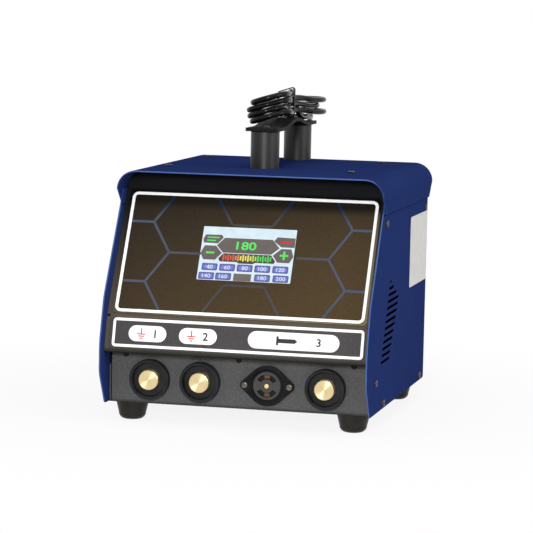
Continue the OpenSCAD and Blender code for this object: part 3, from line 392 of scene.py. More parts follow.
def finish(name, colour, roughness, metallic=0.0, shine=0.2, tint=0.12, tint_scale=30, stretch=(1, 1, 1),
           swing=0.08, bump=0.04, bump_scale=900, edge=0.5, wear=0.0, pale=None):
    """A finish with uneven colour and gloss, a fine relief and soft, worn edges, both in millimetres."""
    material = bpy.data.materials.new(name)
    material.use_nodes = True
    tree = material.node_tree
    shader = tree.nodes["Principled BSDF"]
    shader.inputs["Metallic"].default_value = metallic
    shader.inputs["Specular IOR Level"].default_value = shine
    soft_edge = tree.nodes.new("ShaderNodeBevel")
    soft_edge.samples = 4
    soft_edge.inputs["Radius"].default_value = edge * MM
    soft_normal = soft_edge.outputs["Normal"]
    broad = grain(tree, tint_scale, stretch)
    base = tinted(tree, broad, colour, tint)
    if wear > 0:
        base = worn(tree, base, soft_normal, pale, wear)
    smooth = max(least_rough, roughness - swing)
    rough = min(1, roughness + swing)
    gloss = mapped(tree, broad, gloss_low, gloss_high, smooth, rough)
    relief = tree.nodes.new("ShaderNodeBump")
    relief.inputs["Strength"].default_value = 0.6
    relief.inputs["Distance"].default_value = bump * MM
    tree.links.new(grain(tree, bump_scale, stretch), relief.inputs["Height"])
    tree.links.new(soft_normal, relief.inputs["Normal"])
    tree.links.new(base, shader.inputs["Base Color"])
    tree.links.new(gloss, shader.inputs["Roughness"])
    tree.links.new(relief.outputs["Normal"], shader.inputs["Normal"])
    return material


def turned_metal(name, colour):
    """Metal with the fine rings of a lathe cut about its own axis along Y."""
    material = finish(name, colour, 0.3, metallic=1.0, tint=0.04, tint_scale=120, swing=0.04, bump=0.002,
                      bump_scale=2000)
    tree = material.node_tree
    shader = tree.nodes["Principled BSDF"]
    shader.inputs["Anisotropic"].default_value = 0.85
    shader.inputs["Anisotropic Rotation"].default_value = 0.25
    tangent = tree.nodes.new("ShaderNodeTangent")
    tangent.direction_type = "RADIAL"
    tangent.axis = "Y"
    tree.links.new(tangent.outputs["Tangent"], shader.inputs["Tangent"])
    return material


def glow(name, colour):
    """A lit patch of the display."""
    unlit_share = 0.06
    patch_scale = 90
    patch_tint = 0.07
    material = bpy.data.materials.new(name)
    material.use_nodes = True
    tree = material.node_tree
    shader = tree.nodes["Principled BSDF"]
    shader.inputs["Base Color"].default_value = opaque(times(colour, unlit_share))
    shader.inputs["Roughness"].default_value = 0.22
    shader.inputs["Specular IOR Level"].default_value = 0.15
    shader.inputs["Emission Strength"].default_value = 0.92
    lit = tinted(tree, grain(tree, patch_scale), colour, patch_tint)
    tree.links.new(lit, shader.inputs["Emission Color"])
    return material


# Heights at which colours change: the painted shadow of the hood high on the face, and how far the painted
# shade on the lower rolls reaches up
hood_shadow_low = 237
hood_shadow_high = 245
comb_shadow_low = 229
strip_roll_shade = 6
panel_roll_shade = 4


def shaded_film(name, dark, light, dark_at=hood_shadow_high, clear_at=hood_shadow_low, shade=0.45):
    """A printed film with a fine speckle, lighter low and to the right, with a band of painted shade at one
    height.
    """
    lighter_toward = (0.5, 0, -1)
    dark_end = -0.3
    light_end = -0.08
    boost = 1.2
    speckle_grey = (0.8, 0.8, 0.8)
    speckle_tint = 0.25
    speckle_scale = 1000
    material = finish(name, dark, 0.5, shine=0.06, bump=0.015, bump_scale=1500)
    tree = material.node_tree
    slope = measured(tree, place_on_part(tree), "DOT_PRODUCT", lighter_toward)
    plain = ramped(tree, mapped(tree, slope, dark_end, light_end), times(dark, boost), times(light, boost))
    speckle = tinted(tree, grain(tree, speckle_scale), speckle_grey, speckle_tint)
    # Painted shade: the film turns dark in a band at one height
    shade_band = by_height(tree, clear_at, dark_at)
    banded = blended(tree, multiplied(tree, plain, speckle), shade_band, times(dark, shade))
    tree.links.new(banded, base_input(material))
    return material


def comb_print():
    """Printed lines, grey at the face's middle and blue-grey at its sides, with the hood's painted shadow
    turning them dark high up.
    """
    middle_grey = srgb(66, 63, 64)
    side_grey = srgb(74, 81, 100)
    shadow_blue = srgb(16, 32, 66)
    middle_reach = 25
    side_reach = 135
    material = finish("comb_print", middle_grey, 0.55, shine=0.08, tint=0.1, tint_scale=300)
    tree = material.node_tree
    aside = combined(tree, "ABSOLUTE", axis_share(tree, place_on_part(tree), "X"))
    shade = ramped(tree, mapped(tree, aside, middle_reach * MM, side_reach * MM), middle_grey, side_grey)
    # Painted shadow of the hood: the lines turn dark blue high up
    shade_band = by_height(tree, comb_shadow_low, hood_shadow_high)
    tree.links.new(blended(tree, shade, shade_band, shadow_blue), base_input(material))
    return material


def front_paint():
    """Black paint with a painted brown reflection towards the bend, and painted shade on the strip's lower
    roll.
    """
    black = srgb(24, 24, 26)
    brown_reflection = srgb(80, 74, 64)
    roll_shade_black = srgb(8, 8, 7)
    material = finish("front_paint", black, 0.6, shine=0.06, tint=0.15, bump_scale=800)
    tree = material.node_tree
    # Painted reflection: brown-grey at the bend, black higher up
    reflected = ramped(tree, by_height(tree, bend_h, hood_shadow_low), brown_reflection, black)
    # Painted shade: dark on the strip's lower roll
    roll_shade = by_height(tree, strip_low + strip_roll_shade, strip_low)
    tree.links.new(blended(tree, reflected, roll_shade, roll_shade_black), base_input(material))
    return material


def socket_paint():
    """Speckled grey paint, with painted shade on the panel's lower roll."""
    roll_shade_grey = srgb(36, 36, 36)
    material = finish("socket_panel_grey", srgb(78, 78, 78), 0.62, tint=0.3, tint_scale=900, bump=0.12,
                      bump_scale=1100)
    tree = material.node_tree
    painted = base_input(material).links[0].from_socket
    # Painted shade: dark grey on the panel's lower roll
    roll_shade = by_height(tree, foot_h + panel_roll_shade, foot_h)
    tree.links.new(blended(tree, painted, roll_shade, roll_shade_grey), base_input(material))
    return material


def front_edge_highlight(tree):
    """How strong the painted highlight is: on cut edges that face the front, but not round the hood's
    corners.
    """
    front_lean = (0, 1, -0.5)
    front_reach = 24
    fade = 2
    skirt_fade = 3
    corner_drop = 6
    top_drop = 1
    highlight_share = 0.24
    side_on = -0.4
    head_on = -0.6
    ahead = measured(tree, place_on_part(tree), "DOT_PRODUCT", front_lean)
    near_front = mapped(tree, ahead, (knee_y + front_reach + fade) * MM, (knee_y + front_reach) * MM)
    facing = mapped(tree, axis_share(tree, place_on_part(tree, "Normal"), "Y"), side_on, head_on)
    cut_edge = combined(tree, "MULTIPLY", near_front, facing)
    below_hood = by_height(tree, skirt_low + skirt_fade, skirt_low)
    above_corner = by_height(tree, case_h - corner_drop, case_h - top_drop)
    off_corner = combined(tree, "MAXIMUM", below_hood, above_corner)
    # Painted highlight on the cut edges that face the front
    return mapped(tree, combined(tree, "MULTIPLY", cut_edge, off_corner), 0, 1, 0, highlight_share)


def seam_shadow(tree):
    """1 in the thin band of painted shadow just below the hood's skirt."""
    seam_h = 0.8
    seam_fade = 1.2
    sharp = 0.1
    under = by_height(tree, skirt_low + sharp, skirt_low)
    over = by_height(tree, skirt_low - seam_h - seam_fade, skirt_low - seam_h)
    return combined(tree, "MULTIPLY", under, over)


def blue_paint_wear_and_painted_light():
    """Blue paint, worn pale along its edges, with a painted highlight on the cut edges that face the front
    and a painted shadow in the seam under the hood.
    """
    pale = srgb(124, 158, 228)
    seam_shadow_blue = srgb(16, 24, 58)
    material = finish("blue_paint", srgb(38, 53, 105), 0.6, shine=0, tint=0.04, tint_scale=18, bump=0.05,
                      bump_scale=700, edge=1.0, wear=0.2, pale=pale)
    tree = material.node_tree
    painted = base_input(material).links[0].from_socket
    # Painted shadow in the seam under the hood's skirt
    seamed = blended(tree, painted, seam_shadow(tree), seam_shadow_blue)
    # Painted highlight on the cut edges that face the front
    tree.links.new(blended(tree, seamed, front_edge_highlight(tree), pale), base_input(material))
    return material


def insert_plastic():
    """Grey plastic with painted shade that turns it black with depth, in the slots of the receptacle."""
    grey = srgb(62, 62, 62)
    slot_shade_black = srgb(6, 6, 6)
    grey_depth = 0.9
    black_depth = 2
    material = finish("insert_plastic", grey, 0.5, tint=0.15, tint_scale=180)
    tree = material.node_tree
    face_y = low_y - insert_h
    behind = axis_share(tree, place_on_part(tree), "Y")
    depth = mapped(tree, behind, (face_y + grey_depth) * MM, (face_y + black_depth) * MM)
    # Painted shade: black deep in the slots
    tree.links.new(ramped(tree, depth, grey, slot_shade_black), base_input(material))
    return material


def contact_brass():
    """Brass that is bright on the middle pin and dark on the outer contacts deep in their slots, with
    tarnish and painted shade.
    """
    bright = (0.75, 0.55, 0.24)
    tarnish_and_shade = (0.12, 0.06, 0.03)
    pin_reach = 4
    contact_reach = 7
    material = finish("contact_brass", bright, 0.4, metallic=1.0, tint=0.25, tint_scale=300)
    tree = material.node_tree
    middle = Vector((control_x, low_y - insert_h, socket_h)) * MM
    out = measured(tree, place_on_part(tree), "DISTANCE", middle)
    outward = mapped(tree, out, pin_reach * MM, contact_reach * MM)
    # Tarnish and painted shade: darker away from the middle pin
    tree.links.new(ramped(tree, outward, bright, tarnish_and_shade), base_input(material))
    return material


# Finishes by material slot
finishes = {
    "blue_paint": blue_paint_wear_and_painted_light(),
    "black_paint": finish("black_paint", srgb(24, 24, 26), 0.6, shine=0.06, tint=0.15, bump_scale=800),
    "socket_panel_grey": socket_paint(),
    # The face's film takes the hood's painted shadow high up, and the strip's film takes painted shade on
    # its lower roll
    "face_print": shaded_film("face_print", srgb(42, 36, 28), srgb(73, 59, 38)),
    "strip_print": shaded_film("strip_print", srgb(65, 63, 64), srgb(71, 69, 69), strip_low,
                               strip_low + strip_roll_shade, 0.03),
    "screen_glass": finish("screen_glass", srgb(28, 30, 34), 0.12, shine=0.5, tint=0.1, bump=0.004),
    "circuit_board": finish("circuit_board", srgb(28, 92, 52), 0.4, tint=0.3, tint_scale=240),
    "foot_rubber": finish("foot_rubber", srgb(36, 33, 29), 0.36, shine=0.15, tint=0.2, tint_scale=120),
    "zinc_steel": finish("zinc_steel", srgb(178, 180, 180), 0.34, metallic=1.0, tint=0.12, tint_scale=160),
    "black_screw": finish("black_screw", srgb(34, 33, 33), 0.22, metallic=0.5, tint=0.2, tint_scale=300),
    "black_plastic": finish("black_plastic", srgb(20, 20, 22), 0.38, shine=0.1, tint=0.3, tint_scale=70,
                            swing=0.14, bump=0.03),
    "grey_plastic": finish("grey_plastic", srgb(62, 61, 61), 0.5, tint=0.15, tint_scale=180),
    "brass": turned_metal("brass", (0.82, 0.66, 0.36)),
    "post_black": finish("post_black", srgb(16, 16, 16), 0.4, shine=0.42, tint=0.12, tint_scale=60,
                         swing=0.04, bump=0.015),
    "strap_black": finish("strap_black", srgb(20, 20, 20), 0.6, shine=0.08, tint=0.25, tint_scale=220,
                          bump=0.08),
    "rocker_plastic": finish("rocker_plastic", srgb(150, 24, 22), 0.32, tint=0.08, tint_scale=120),
    "button_plastic": finish("button_plastic", srgb(224, 222, 214), 0.36, tint=0.05, tint_scale=150),
    "capacitor_can": finish("capacitor_can", srgb(34, 48, 92), 0.4, tint=0.1, tint_scale=50),
    "tray_plastic": finish("tray_plastic", srgb(206, 200, 184), 0.5, tint=0.08, tint_scale=60),
    "copper": finish("copper", (0.72, 0.33, 0.16), 0.32, metallic=1.0, tint=0.15, tint_scale=120),
    "core_steel": finish("core_steel", srgb(96, 100, 106), 0.45, metallic=0.8, tint=0.25,
                         stretch=(1, 30, 1)),
    "sink_aluminium": finish("sink_aluminium", srgb(188, 190, 192), 0.38, metallic=1.0, stretch=(1, 12, 1)),
    "cord_rubber": finish("cord_rubber", srgb(10, 10, 10), 0.17, shine=0.14, tint=0.2, tint_scale=90,
                          swing=0.05, bump=0.01),
    "tie_plastic": finish("tie_plastic", srgb(18, 18, 18), 0.4, shine=0.12, tint=0.15, tint_scale=200),
}

# Finishes of single pieces and of the prints
worn_steel = finish("worn_steel", srgb(104, 97, 89), 0.38, metallic=0.85, tint=0.25, tint_scale=240)
bronzed_steel = finish("bronzed_steel", srgb(74, 66, 58), 0.34, metallic=0.8, tint=0.25, tint_scale=240)
ring_plastic = finish("ring_plastic", srgb(31, 31, 32), 0.4, shine=0.14, tint=0.3, tint_scale=70,
                      swing=0.14, bump=0.03)
plate_print = finish("plate_print", srgb(214, 212, 208), 0.5, shine=0.08, tint=0.05, tint_scale=60,
                     bump=0.01)
# The margin takes the hood's painted shadow high up, as the face does
margin_print = shaded_film("margin_print", srgb(20, 20, 20), srgb(114, 104, 82))
white_print = finish("white_print", srgb(251, 251, 249), 0.5, shine=0.08, tint=0.04, tint_scale=200,
                     bump=0.01, edge=0.1)
pill_print = finish("pill_print", srgb(246, 245, 242), 0.5, shine=0.08, tint=0.03, tint_scale=150,
                    bump=0.01, edge=0.1)
dark_print = finish("dark_print", srgb(40, 40, 44), 0.5, tint=0.1, tint_scale=300, bump=0.01, edge=0.1)
red_print = finish("red_print", srgb(188, 36, 34), 0.5, tint=0.08, tint_scale=300, bump=0.01, edge=0.1)
comb_lines = comb_print()

own_finishes = {
    "control_contacts": contact_brass(),
    "control_insert": insert_plastic(),
    "front_panel": front_paint(),
    "socket_ring_ground_a": ring_plastic,
    "socket_ring_ground_b": ring_plastic,
    "socket_ring_gun": ring_plastic,
}
for name, obj in nodes.items():
    obj.data.materials.clear()
    obj.data.materials.append(own_finishes.get(name, finishes[slot_of[name]]))
mains_lead.data.materials.append(finishes["cord_rubber"])


# Frames on the part's faces: X across, Y up the face, Z out of it

def leaning_frame(lean):
    return Matrix.Translation((0, bend_y, bend_h)) @ Matrix.Rotation(math.radians(90 - lean), 4, "X")


on_face = leaning_frame(face_lean)
on_strip = leaning_frame(strip_lean)
on_right_side = Matrix(((0, 0, 1, side_x), (1, 0, 0, 0), (0, 1, 0, 0), (0, 0, 0, 1)))


# Flat pieces
print_t = 0.06
point_slope = math.tan(math.radians(30))


def rounded_box(w, h, r, centre=(0, 0), steps=6):
    """Outline of a box with round corners."""
    corners = [(1, 1, 0), (-1, 1, 90), (-1, -1, 180), (1, -1, 270)]
    points = []
    for x_sign, y_sign, start in corners:
        for step in range(steps + 1):
            angle = math.radians(start + 90 * step / steps)
            x = centre[0] + x_sign * (w / 2 - r) + r * math.cos(angle)
            y = centre[1] + y_sign * (h / 2 - r) + r * math.sin(angle)
            points.append((x, y))
    return points


def box_outline(left, low, right, high):
    return [(left, low), (right, low), (right, high), (left, high)]


def stroke(start, end, width):
    """Outline of a straight line with pointed ends, so that lines meet in a node."""
    a = Vector(start)
    b = Vector(end)
    along_line = (b - a).normalized()
    aside = Vector((-along_line.y, along_line.x)) * width / 2
    tip = along_line * width * point_slope / 2
    return [tuple(p) for p in (a, a + tip - aside, b - tip - aside, b, b - tip + aside, a + tip + aside)]


def add_walls(shape, low_ring, high_ring):
    count = len(low_ring)
    for i in range(count):
        k = (i + 1) % count
        shape.faces.new((low_ring[i], low_ring[k], high_ring[k], high_ring[i]))


def add_prism(shape, outline, low, high):
    foot = [shape.verts.new((x, y, low)) for x, y in outline]
    top = [shape.verts.new((x, y, high)) for x, y in outline]
    add_walls(shape, foot, top)
    shape.faces.new(top)
    shape.faces.new(list(reversed(foot)))


def add_hoop(shape, outer, inner, low, high):
    rings = []
    for outline, height in ((outer, low), (outer, high), (inner, high), (inner, low)):
        rings.append([shape.verts.new((x, y, height)) for x, y in outline])
    for i in range(len(rings)):
        add_walls(shape, rings[i], rings[(i + 1) % len(rings)])


def new_piece(name, shape, place, material, body="case"):
    """Makes a bmesh, drawn in millimetres in the frame place, into a piece of the part."""
    bmesh.ops.recalc_face_normals(shape, faces=shape.faces)
    mesh = bpy.data.meshes.new(name)
    shape.to_mesh(mesh)
    shape.free()
    mesh.transform(Matrix.Scale(MM, 4) @ place)
    mesh.materials.append(material)
    piece = link(bpy.data.objects.new(name, mesh))
    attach(piece, body)
    return piece


def flat_piece(name, outlines, place, low, high, material, body="case"):
    shape = bmesh.new()
    for outline in outlines:
        add_prism(shape, outline, low, high)
    return new_piece(name, shape, place, material, body)


def hoop_piece(name, outer, inner, place, low, material, body="case"):
    """A printed ring between two outlines."""
    shape = bmesh.new()
    add_hoop(shape, outer, inner, low, low + print_t)
    return new_piece(name, shape, place, material, body)


def border_piece(name, w, h, r, line, centre, place):
    outer = rounded_box(w, h, r, centre)
    inner = rounded_box(w - 2 * line, h - 2 * line, r - line, centre)
    return hoop_piece(name, outer, inner, place, film_t, white_print)


# Numbers in Blender's built-in letter shapes

def add_number(shape, text, centre, h, low, high, stretch=1.0, weight=0.0):
    """Adds a number about its centre, h high, with strokes made bolder by weight."""
    half_depth = 0.5
    curve = bpy.data.curves.new("number", "FONT")
    curve.body = text
    curve.offset = weight
    curve.extrude = half_depth
    carrier = bpy.data.objects.new("number", curve)
    mesh = bpy.data.meshes.new_from_object(carrier)
    across = [vertex.co.x for vertex in mesh.vertices]
    upward = [vertex.co.y for vertex in mesh.vertices]
    scale = h / (max(upward) - min(upward))
    for vertex in mesh.vertices:
        x = centre[0] + (vertex.co.x - (max(across) + min(across)) / 2) * scale * stretch
        y = centre[1] + (vertex.co.y - (max(upward) + min(upward)) / 2) * scale
        vertex.co = (x, y, low + (vertex.co.z + half_depth) * (high - low))
    shape.from_mesh(mesh)
    bpy.data.objects.remove(carrier)
    bpy.data.curves.remove(curve)
    bpy.data.meshes.remove(mesh)


# Prints on the face, up from the bend
film_w = 292
film_h = 152.5
film_r = 4
film_set = 2.5
film_rim = 0.2
border_line = 3.5
border_w = 286
border_h = 146.6
border_r = 7
border_low = 4.8
border_mid = (0, border_low + border_h / 2)
comb_low = 6.3
comb_shift = 1.8
comb_line = 3
comb_half = 46
comb_mid = 72.2
comb_rise = 36.4
comb_screen = 54.5
comb_head = 141
comb_head_in = 43.5
comb_head_out = 94.5
comb_foot = 2.4
comb_foot_in = 44
comb_foot_out = 93.9


def comb_strokes():
    """The honeycomb's lines: two across the middle, and a right half that is mirrored."""
    wide = 2 * comb_half
    far = 2.5 * comb_half
    half = comb_half / 2
    top = comb_mid + comb_rise
    low = comb_mid - comb_rise
    inner = border_w / 2 - border_line
    rim = inner + comb_shift
    right = [
        ((half, top), (comb_head_in, comb_head)),
        ((comb_screen, comb_mid), (wide, comb_mid)),
        ((wide, comb_mid), (far, top)),
        ((far, top), (comb_head_out, comb_head)),
        ((far, top), (rim, top)),
        ((wide, comb_mid), (far, low)),
        ((far, low), (rim, low)),
        ((far, low), (comb_foot_out, comb_foot)),
        ((half, low), (comb_foot_in, comb_foot)),
    ]
    lines = [((-half, low), (half, low)), ((-half, top), (half, top))]
    for start, end in right:
        for sign in (-1, 1):
            lines.append(((sign * start[0], start[1]), (sign * end[0], end[1])))
    strokes = []
    for start, end in lines:
        ends = [(min(inner, max(-inner, x + comb_shift)), y + comb_low) for x, y in (start, end)]
        strokes.append(stroke(ends[0], ends[1], comb_line))
    return strokes


film_outline = rounded_box(film_w - film_rim, film_h - film_rim, film_r, (0, film_set + film_h / 2))
border_outline = rounded_box(border_w, border_h, border_r, border_mid)
hoop_piece("face_margin", film_outline, border_outline, on_face, film_t, margin_print)
border_piece("face_border", border_w, border_h, border_r, border_line, border_mid, on_face)
flat_piece("face_comb", comb_strokes(), on_face, film_t, film_t + print_t, comb_lines)

# Prints on the label strip, down from the bend
strip_border_w = 287
strip_border_h = 32.6
strip_border_r = 4
strip_line = 3.1
strip_mid = (1, -18.8)
pill_y = -19.1
pills = [(-101.9, 43.8, 18), (-43.6, 43.6, 17.8), (65.5, 103.6, 19.4)]
pill_flat = 0.1
pill_outlines = [rounded_box(w, h, h / 2 - pill_flat, (x, pill_y)) for x, w, h in pills]
sign_low = film_t + print_t
sign_high = sign_low + print_t
sign_line = 1.2
earth_places = (-109, -51)
earth_stem = 6
earth_bars = ((5, 0), (3.3, 2.4), (1.6, 4.8))
stud_place = 58
strip_labels = (("1", -93), ("2", -35), ("3", 94))
label_h = 9
label_weight = 0.02


def earth_sign(x):
    """A protective-earth sign: an upright over three shorter and shorter bars."""
    outlines = [box_outline(x - sign_line / 2, pill_y, x + sign_line / 2, pill_y + earth_stem)]
    for half, down in earth_bars:
        outlines.append(box_outline(x - half, pill_y - down - sign_line, x + half, pill_y - down))
    return outlines


def stud_sign(x):
    """A weld stud lying on its side: flange, shank and point."""
    head = x - 12
    neck = x - 9.5
    shoulder = x + 9
    tip = x + 12
    flange_half = 5
    shank_half = 2.4
    shank = [
        (neck, pill_y - shank_half), (shoulder, pill_y - shank_half), (tip, pill_y),
        (shoulder, pill_y + shank_half), (neck, pill_y + shank_half),
    ]
    return [box_outline(head, pill_y - flange_half, neck, pill_y + flange_half), shank]


border_piece("strip_border", strip_border_w, strip_border_h, strip_border_r, strip_line, strip_mid,
             on_strip)
flat_piece("strip_pills", pill_outlines, on_strip, film_t, film_t + print_t, pill_print)
earth_outlines = [outline for x in earth_places for outline in earth_sign(x)]
flat_piece("earth_signs", earth_outlines, on_strip, sign_low, sign_high, red_print)
strip_marks = bmesh.new()
for label, x in strip_labels:
    add_number(strip_marks, label, (x, pill_y), label_h, sign_low, sign_high, weight=label_weight)
for outline in stud_sign(stud_place):
    add_prism(strip_marks, outline, sign_low, sign_high)
new_piece("strip_numbers", strip_marks, on_strip, dark_print)


# Lit display, in shares of the glass across and up
drawn_share = 0.98
drawn_h = drawn_share * screen_h
screen_step = 0.03
screen_rim = 0.2
screen_r = 1


def on_screen(u, v):
    return ((u - 0.5) * screen_w, screen_up - screen_h / 2 + v * drawn_h)


def screen_shape(corners):
    return [on_screen(u, v) for u, v in corners]


def screen_box(left, low, right, high):
    return screen_shape(box_outline(left, low, right, high))


def screen_level(level):
    return film_t + level * screen_step


def screen_piece(name, outlines, level, colour):
    lit = glow(name, srgb(*colour))
    flat_piece(name, outlines, on_face, screen_level(level), screen_level(level + 1), lit)


def number_piece(name, labels, level, colour):
    """Lit numbers, each with its place, height, stretch and weight."""
    shape = bmesh.new()
    for label, centre, h, stretch, weight in labels:
        add_number(shape, label, centre, h, screen_level(level), screen_level(level + 1), stretch, weight)
    new_piece(name, shape, on_face, glow(name, srgb(*colour)))


# Fields of the display
backdrop = rounded_box(screen_w - screen_rim, screen_h - screen_rim, screen_r, (0, screen_up))
fields = [
    [(0.168, 0.664), (0.242, 0.813), (0.755, 0.813), (0.838, 0.657), (0.757, 0.53), (0.242, 0.53)],
    [(0.004, 0.508), (0.038, 0.655), (0.16, 0.655), (0.231, 0.52), (0.168, 0.386), (0.04, 0.386)],
    [(0.996, 0.508), (0.966, 0.648), (0.858, 0.648), (0.776, 0.515), (0.832, 0.386), (0.96, 0.386)],
    [(0.012, 0.78), (0.034, 0.862), (0.207, 0.867), (0.228, 0.817), (0.176, 0.70), (0.023, 0.706)],
    [(0.77, 0.788), (0.802, 0.867), (0.995, 0.858), (0.995, 0.678), (0.855, 0.678)],
]
bar_field = [
    (0.2, 0.415), (0.25, 0.518), (0.758, 0.518), (0.812, 0.4), (0.795, 0.36), (0.6, 0.36), (0.575, 0.335),
    (0.425, 0.335), (0.4, 0.36), (0.222, 0.36),
]
screen_piece("screen_backdrop", [backdrop], 0, (220, 239, 250))
screen_piece("screen_panels", [screen_shape(field) for field in fields], 1, (108, 100, 97))
screen_piece("screen_bar_field", [screen_shape(bar_field)], 1, (76, 69, 67))

# Level bars of the display
bar_groups = [
    ("screen_bars_red", 5, (224, 96, 76)),
    ("screen_bars_orange", 2, (228, 152, 84)),
    ("screen_bars_yellow", 5, (242, 228, 106)),
    ("screen_bars_lime", 2, (178, 228, 94)),
    ("screen_bars_green", 6, (88, 216, 96)),
]
bars_left = 0.245
bars_right = 0.775
bars_low = 0.378
bars_high = 0.5
bar_inset = 0.02
bar_pitch = (bars_right - bars_left) / sum(count for name, count, colour in bar_groups)
bar_share = 0.66
bar_w = bar_share * bar_pitch


def level_bars(first, count):
    """Outlines of upright bars, long and short by turns, from a place in the row on."""
    bars = []
    for i in range(first, first + count):
        inset = bar_inset * (i % 2)
        left = bars_left + i * bar_pitch
        bars.append(screen_box(left, bars_low + inset, left + bar_w, bars_high - inset))
    return bars


bars_drawn = 0
for name, count, colour in bar_groups:
    screen_piece(name, level_bars(bars_drawn, count), 2, colour)
    bars_drawn += count

# Signs and the reading of the display
minus_sign = screen_box(0.06, 0.503, 0.15, 0.539)
plus_sign = [screen_box(0.85, 0.503, 0.94, 0.539), screen_box(0.884, 0.44, 0.906, 0.6)]
tag_bars = [screen_box(0.055, 0.8, 0.185, 0.823), screen_box(0.055, 0.742, 0.15, 0.765)]
reading = ("180", on_screen(0.4825, 0.672), 9.8, 1.33, 0.02)
screen_piece("screen_signs", [minus_sign] + plus_sign + tag_bars, 2, (94, 232, 104))
screen_piece("screen_alert", [screen_box(0.84, 0.752, 0.97, 0.788)], 2, (206, 60, 54))
number_piece("screen_reading", [reading], 2, (94, 236, 106))

# Keys of the display: each row's lower and upper edge, then each key's left edge and number
key_rows = [
    (0.183, 0.318, ((0.038, "40"), (0.226, "60"), (0.414, "80"), (0.602, "100"), (0.793, "120"))),
    (0.012, 0.146, ((0.015, "140"), (0.197, "160"), (0.612, "180"), (0.808, "200"))),
]
key_w = 0.168
key_r = 1.6
key_number_h = 4.8
key_number_stretch = 1.1
key_number_weight = 0.012
key_layers = [
    ("screen_key_rims", 0, (94, 90, 148)),
    ("screen_keys", 1.0, (110, 112, 188)),
    ("screen_key_lights", 2.3, (128, 138, 222)),
]
key_outlines = {name: [] for name, inset, colour in key_layers}
key_labels = []
for low, high, row in key_rows:
    for left, label in row:
        middle = on_screen(left + key_w / 2, (low + high) / 2)
        w = key_w * screen_w
        h = (high - low) * drawn_h
        for name, inset, colour in key_layers:
            key_outlines[name].append(rounded_box(w - 2 * inset, h - 2 * inset, key_r, middle))
        key_labels.append((label, middle, key_number_h, key_number_stretch, key_number_weight))
for level, (name, inset, colour) in enumerate(key_layers, start=1):
    screen_piece(name, key_outlines[name], level, colour)
screen_piece("screen_tab", [screen_box(0.391, 0.004, 0.579, 0.143)], 1, (116, 108, 105))
number_piece("screen_key_numbers", key_labels, 4, (222, 230, 252))

# Blank plate on the right side
plate_w = 105
plate_h = 83
plate_r = 3
plate_t = 0.3
plate_spot = (108.5, 183.5)
flat_piece("side_plate", [rounded_box(plate_w, plate_h, plate_r, plate_spot)], on_right_side, 0, plate_t,
           plate_print)

# Marks on the rocker's two halves
rocker_spot = (-100, 200)
pivot_in = 4
rocker_rest = 12
rocker_reach = 11.4
rocker_tip = 7
rocker_dip = 5
mark_h = 5
mark_line = 1
mark_line_r = 0.4
ring_r = 2.45
ring_hole = 3.2
ring_hole_r = 1.55
line_shape = rounded_box(mark_line, mark_h, mark_line_r)
ring_outer = rounded_box(mark_h, mark_h, ring_r)
ring_inner = rounded_box(ring_hole, ring_hole, ring_hole_r)
rocker_frame = (Matrix.Translation((rocker_spot[0], rear_y, rocker_spot[1]))
                @ Matrix.Rotation(math.radians(-90), 4, "X")
                @ Matrix.Translation((0, 0, -pivot_in))
                @ Matrix.Rotation(math.radians(rocker_rest), 4, "X"))


def on_rocker(side):
    slope = math.atan2(rocker_tip - rocker_dip, rocker_reach)
    middle = Matrix.Translation((0, side * rocker_reach / 2, (rocker_tip + rocker_dip) / 2))
    return rocker_frame @ middle @ Matrix.Rotation(side * slope, 4, "X")


flat_piece("rocker_line", [line_shape], on_rocker(-1), 0, print_t, white_print, "rocker")
hoop_piece("rocker_ring", ring_outer, ring_inner, on_rocker(1), 0, white_print, "rocker")


# Recesses of the screws, as the reach from the axis at each angle
least_share = 1e-6


def hex_recess(across):
    def reach(angle):
        sector = math.radians(60)
        return across / 2 / math.cos((angle + sector / 2) % sector - sector / 2)
    return reach


def bar_reach(angle, length, width):
    run = max(abs(math.cos(angle)), least_share)
    rise = max(abs(math.sin(angle)), least_share)
    return min(length / 2 / run, width / 2 / rise)


def slot_recess(length, width):
    def reach(angle):
        return bar_reach(angle, length, width)
    return reach


def cross_recess(length, width):
    def reach(angle):
        return max(bar_reach(angle, length, width), bar_reach(angle + math.pi / 2, length, width))
    return reach


# Screw heads, domed, as shares of the radius and the height
head_sides = 48
head_h = 2.2
head_dome = [(1, 0), (1, 0.45), (0.93, 0.74), (0.8, 0.92), (0.66, 1)]
recess_taper = 0.94


def add_head(shape, place, d, recess, depth):
    """Adds one domed head, its axis along the frame's Z, with a recess sunk into its top."""
    angles = [2 * math.pi * i / head_sides for i in range(head_sides)]
    outlines = [([share * d / 2] * head_sides, level * head_h) for share, level in head_dome]
    outlines.append(([recess(angle) for angle in angles], head_h))
    outlines.append(([recess_taper * recess(angle) for angle in angles], head_h - depth))
    rings = []
    for reaches, level in outlines:
        spots = [(r * math.cos(angle), r * math.sin(angle), level) for r, angle in zip(reaches, angles)]
        rings.append([shape.verts.new(place @ Vector(spot)) for spot in spots])
    for low_ring, high_ring in zip(rings, rings[1:]):
        add_walls(shape, low_ring, high_ring)
    shape.faces.new(rings[-1])
    shape.faces.new(list(reversed(rings[0])))


def screw_heads(name, spots, axes, d, recess, depth, node, material=None):
    """One piece with all the heads that stand for a node's screws."""
    slot = slot_of[node]
    shape = bmesh.new()
    for spot, axis in zip(spots, axes):
        place = Vector(axis).to_track_quat("Z", "Y").to_matrix().to_4x4()
        place.translation = spot
        add_head(shape, place, d, recess, depth)
    piece = new_piece(name, shape, Matrix.Identity(4), material or finishes[slot])
    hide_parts(node)


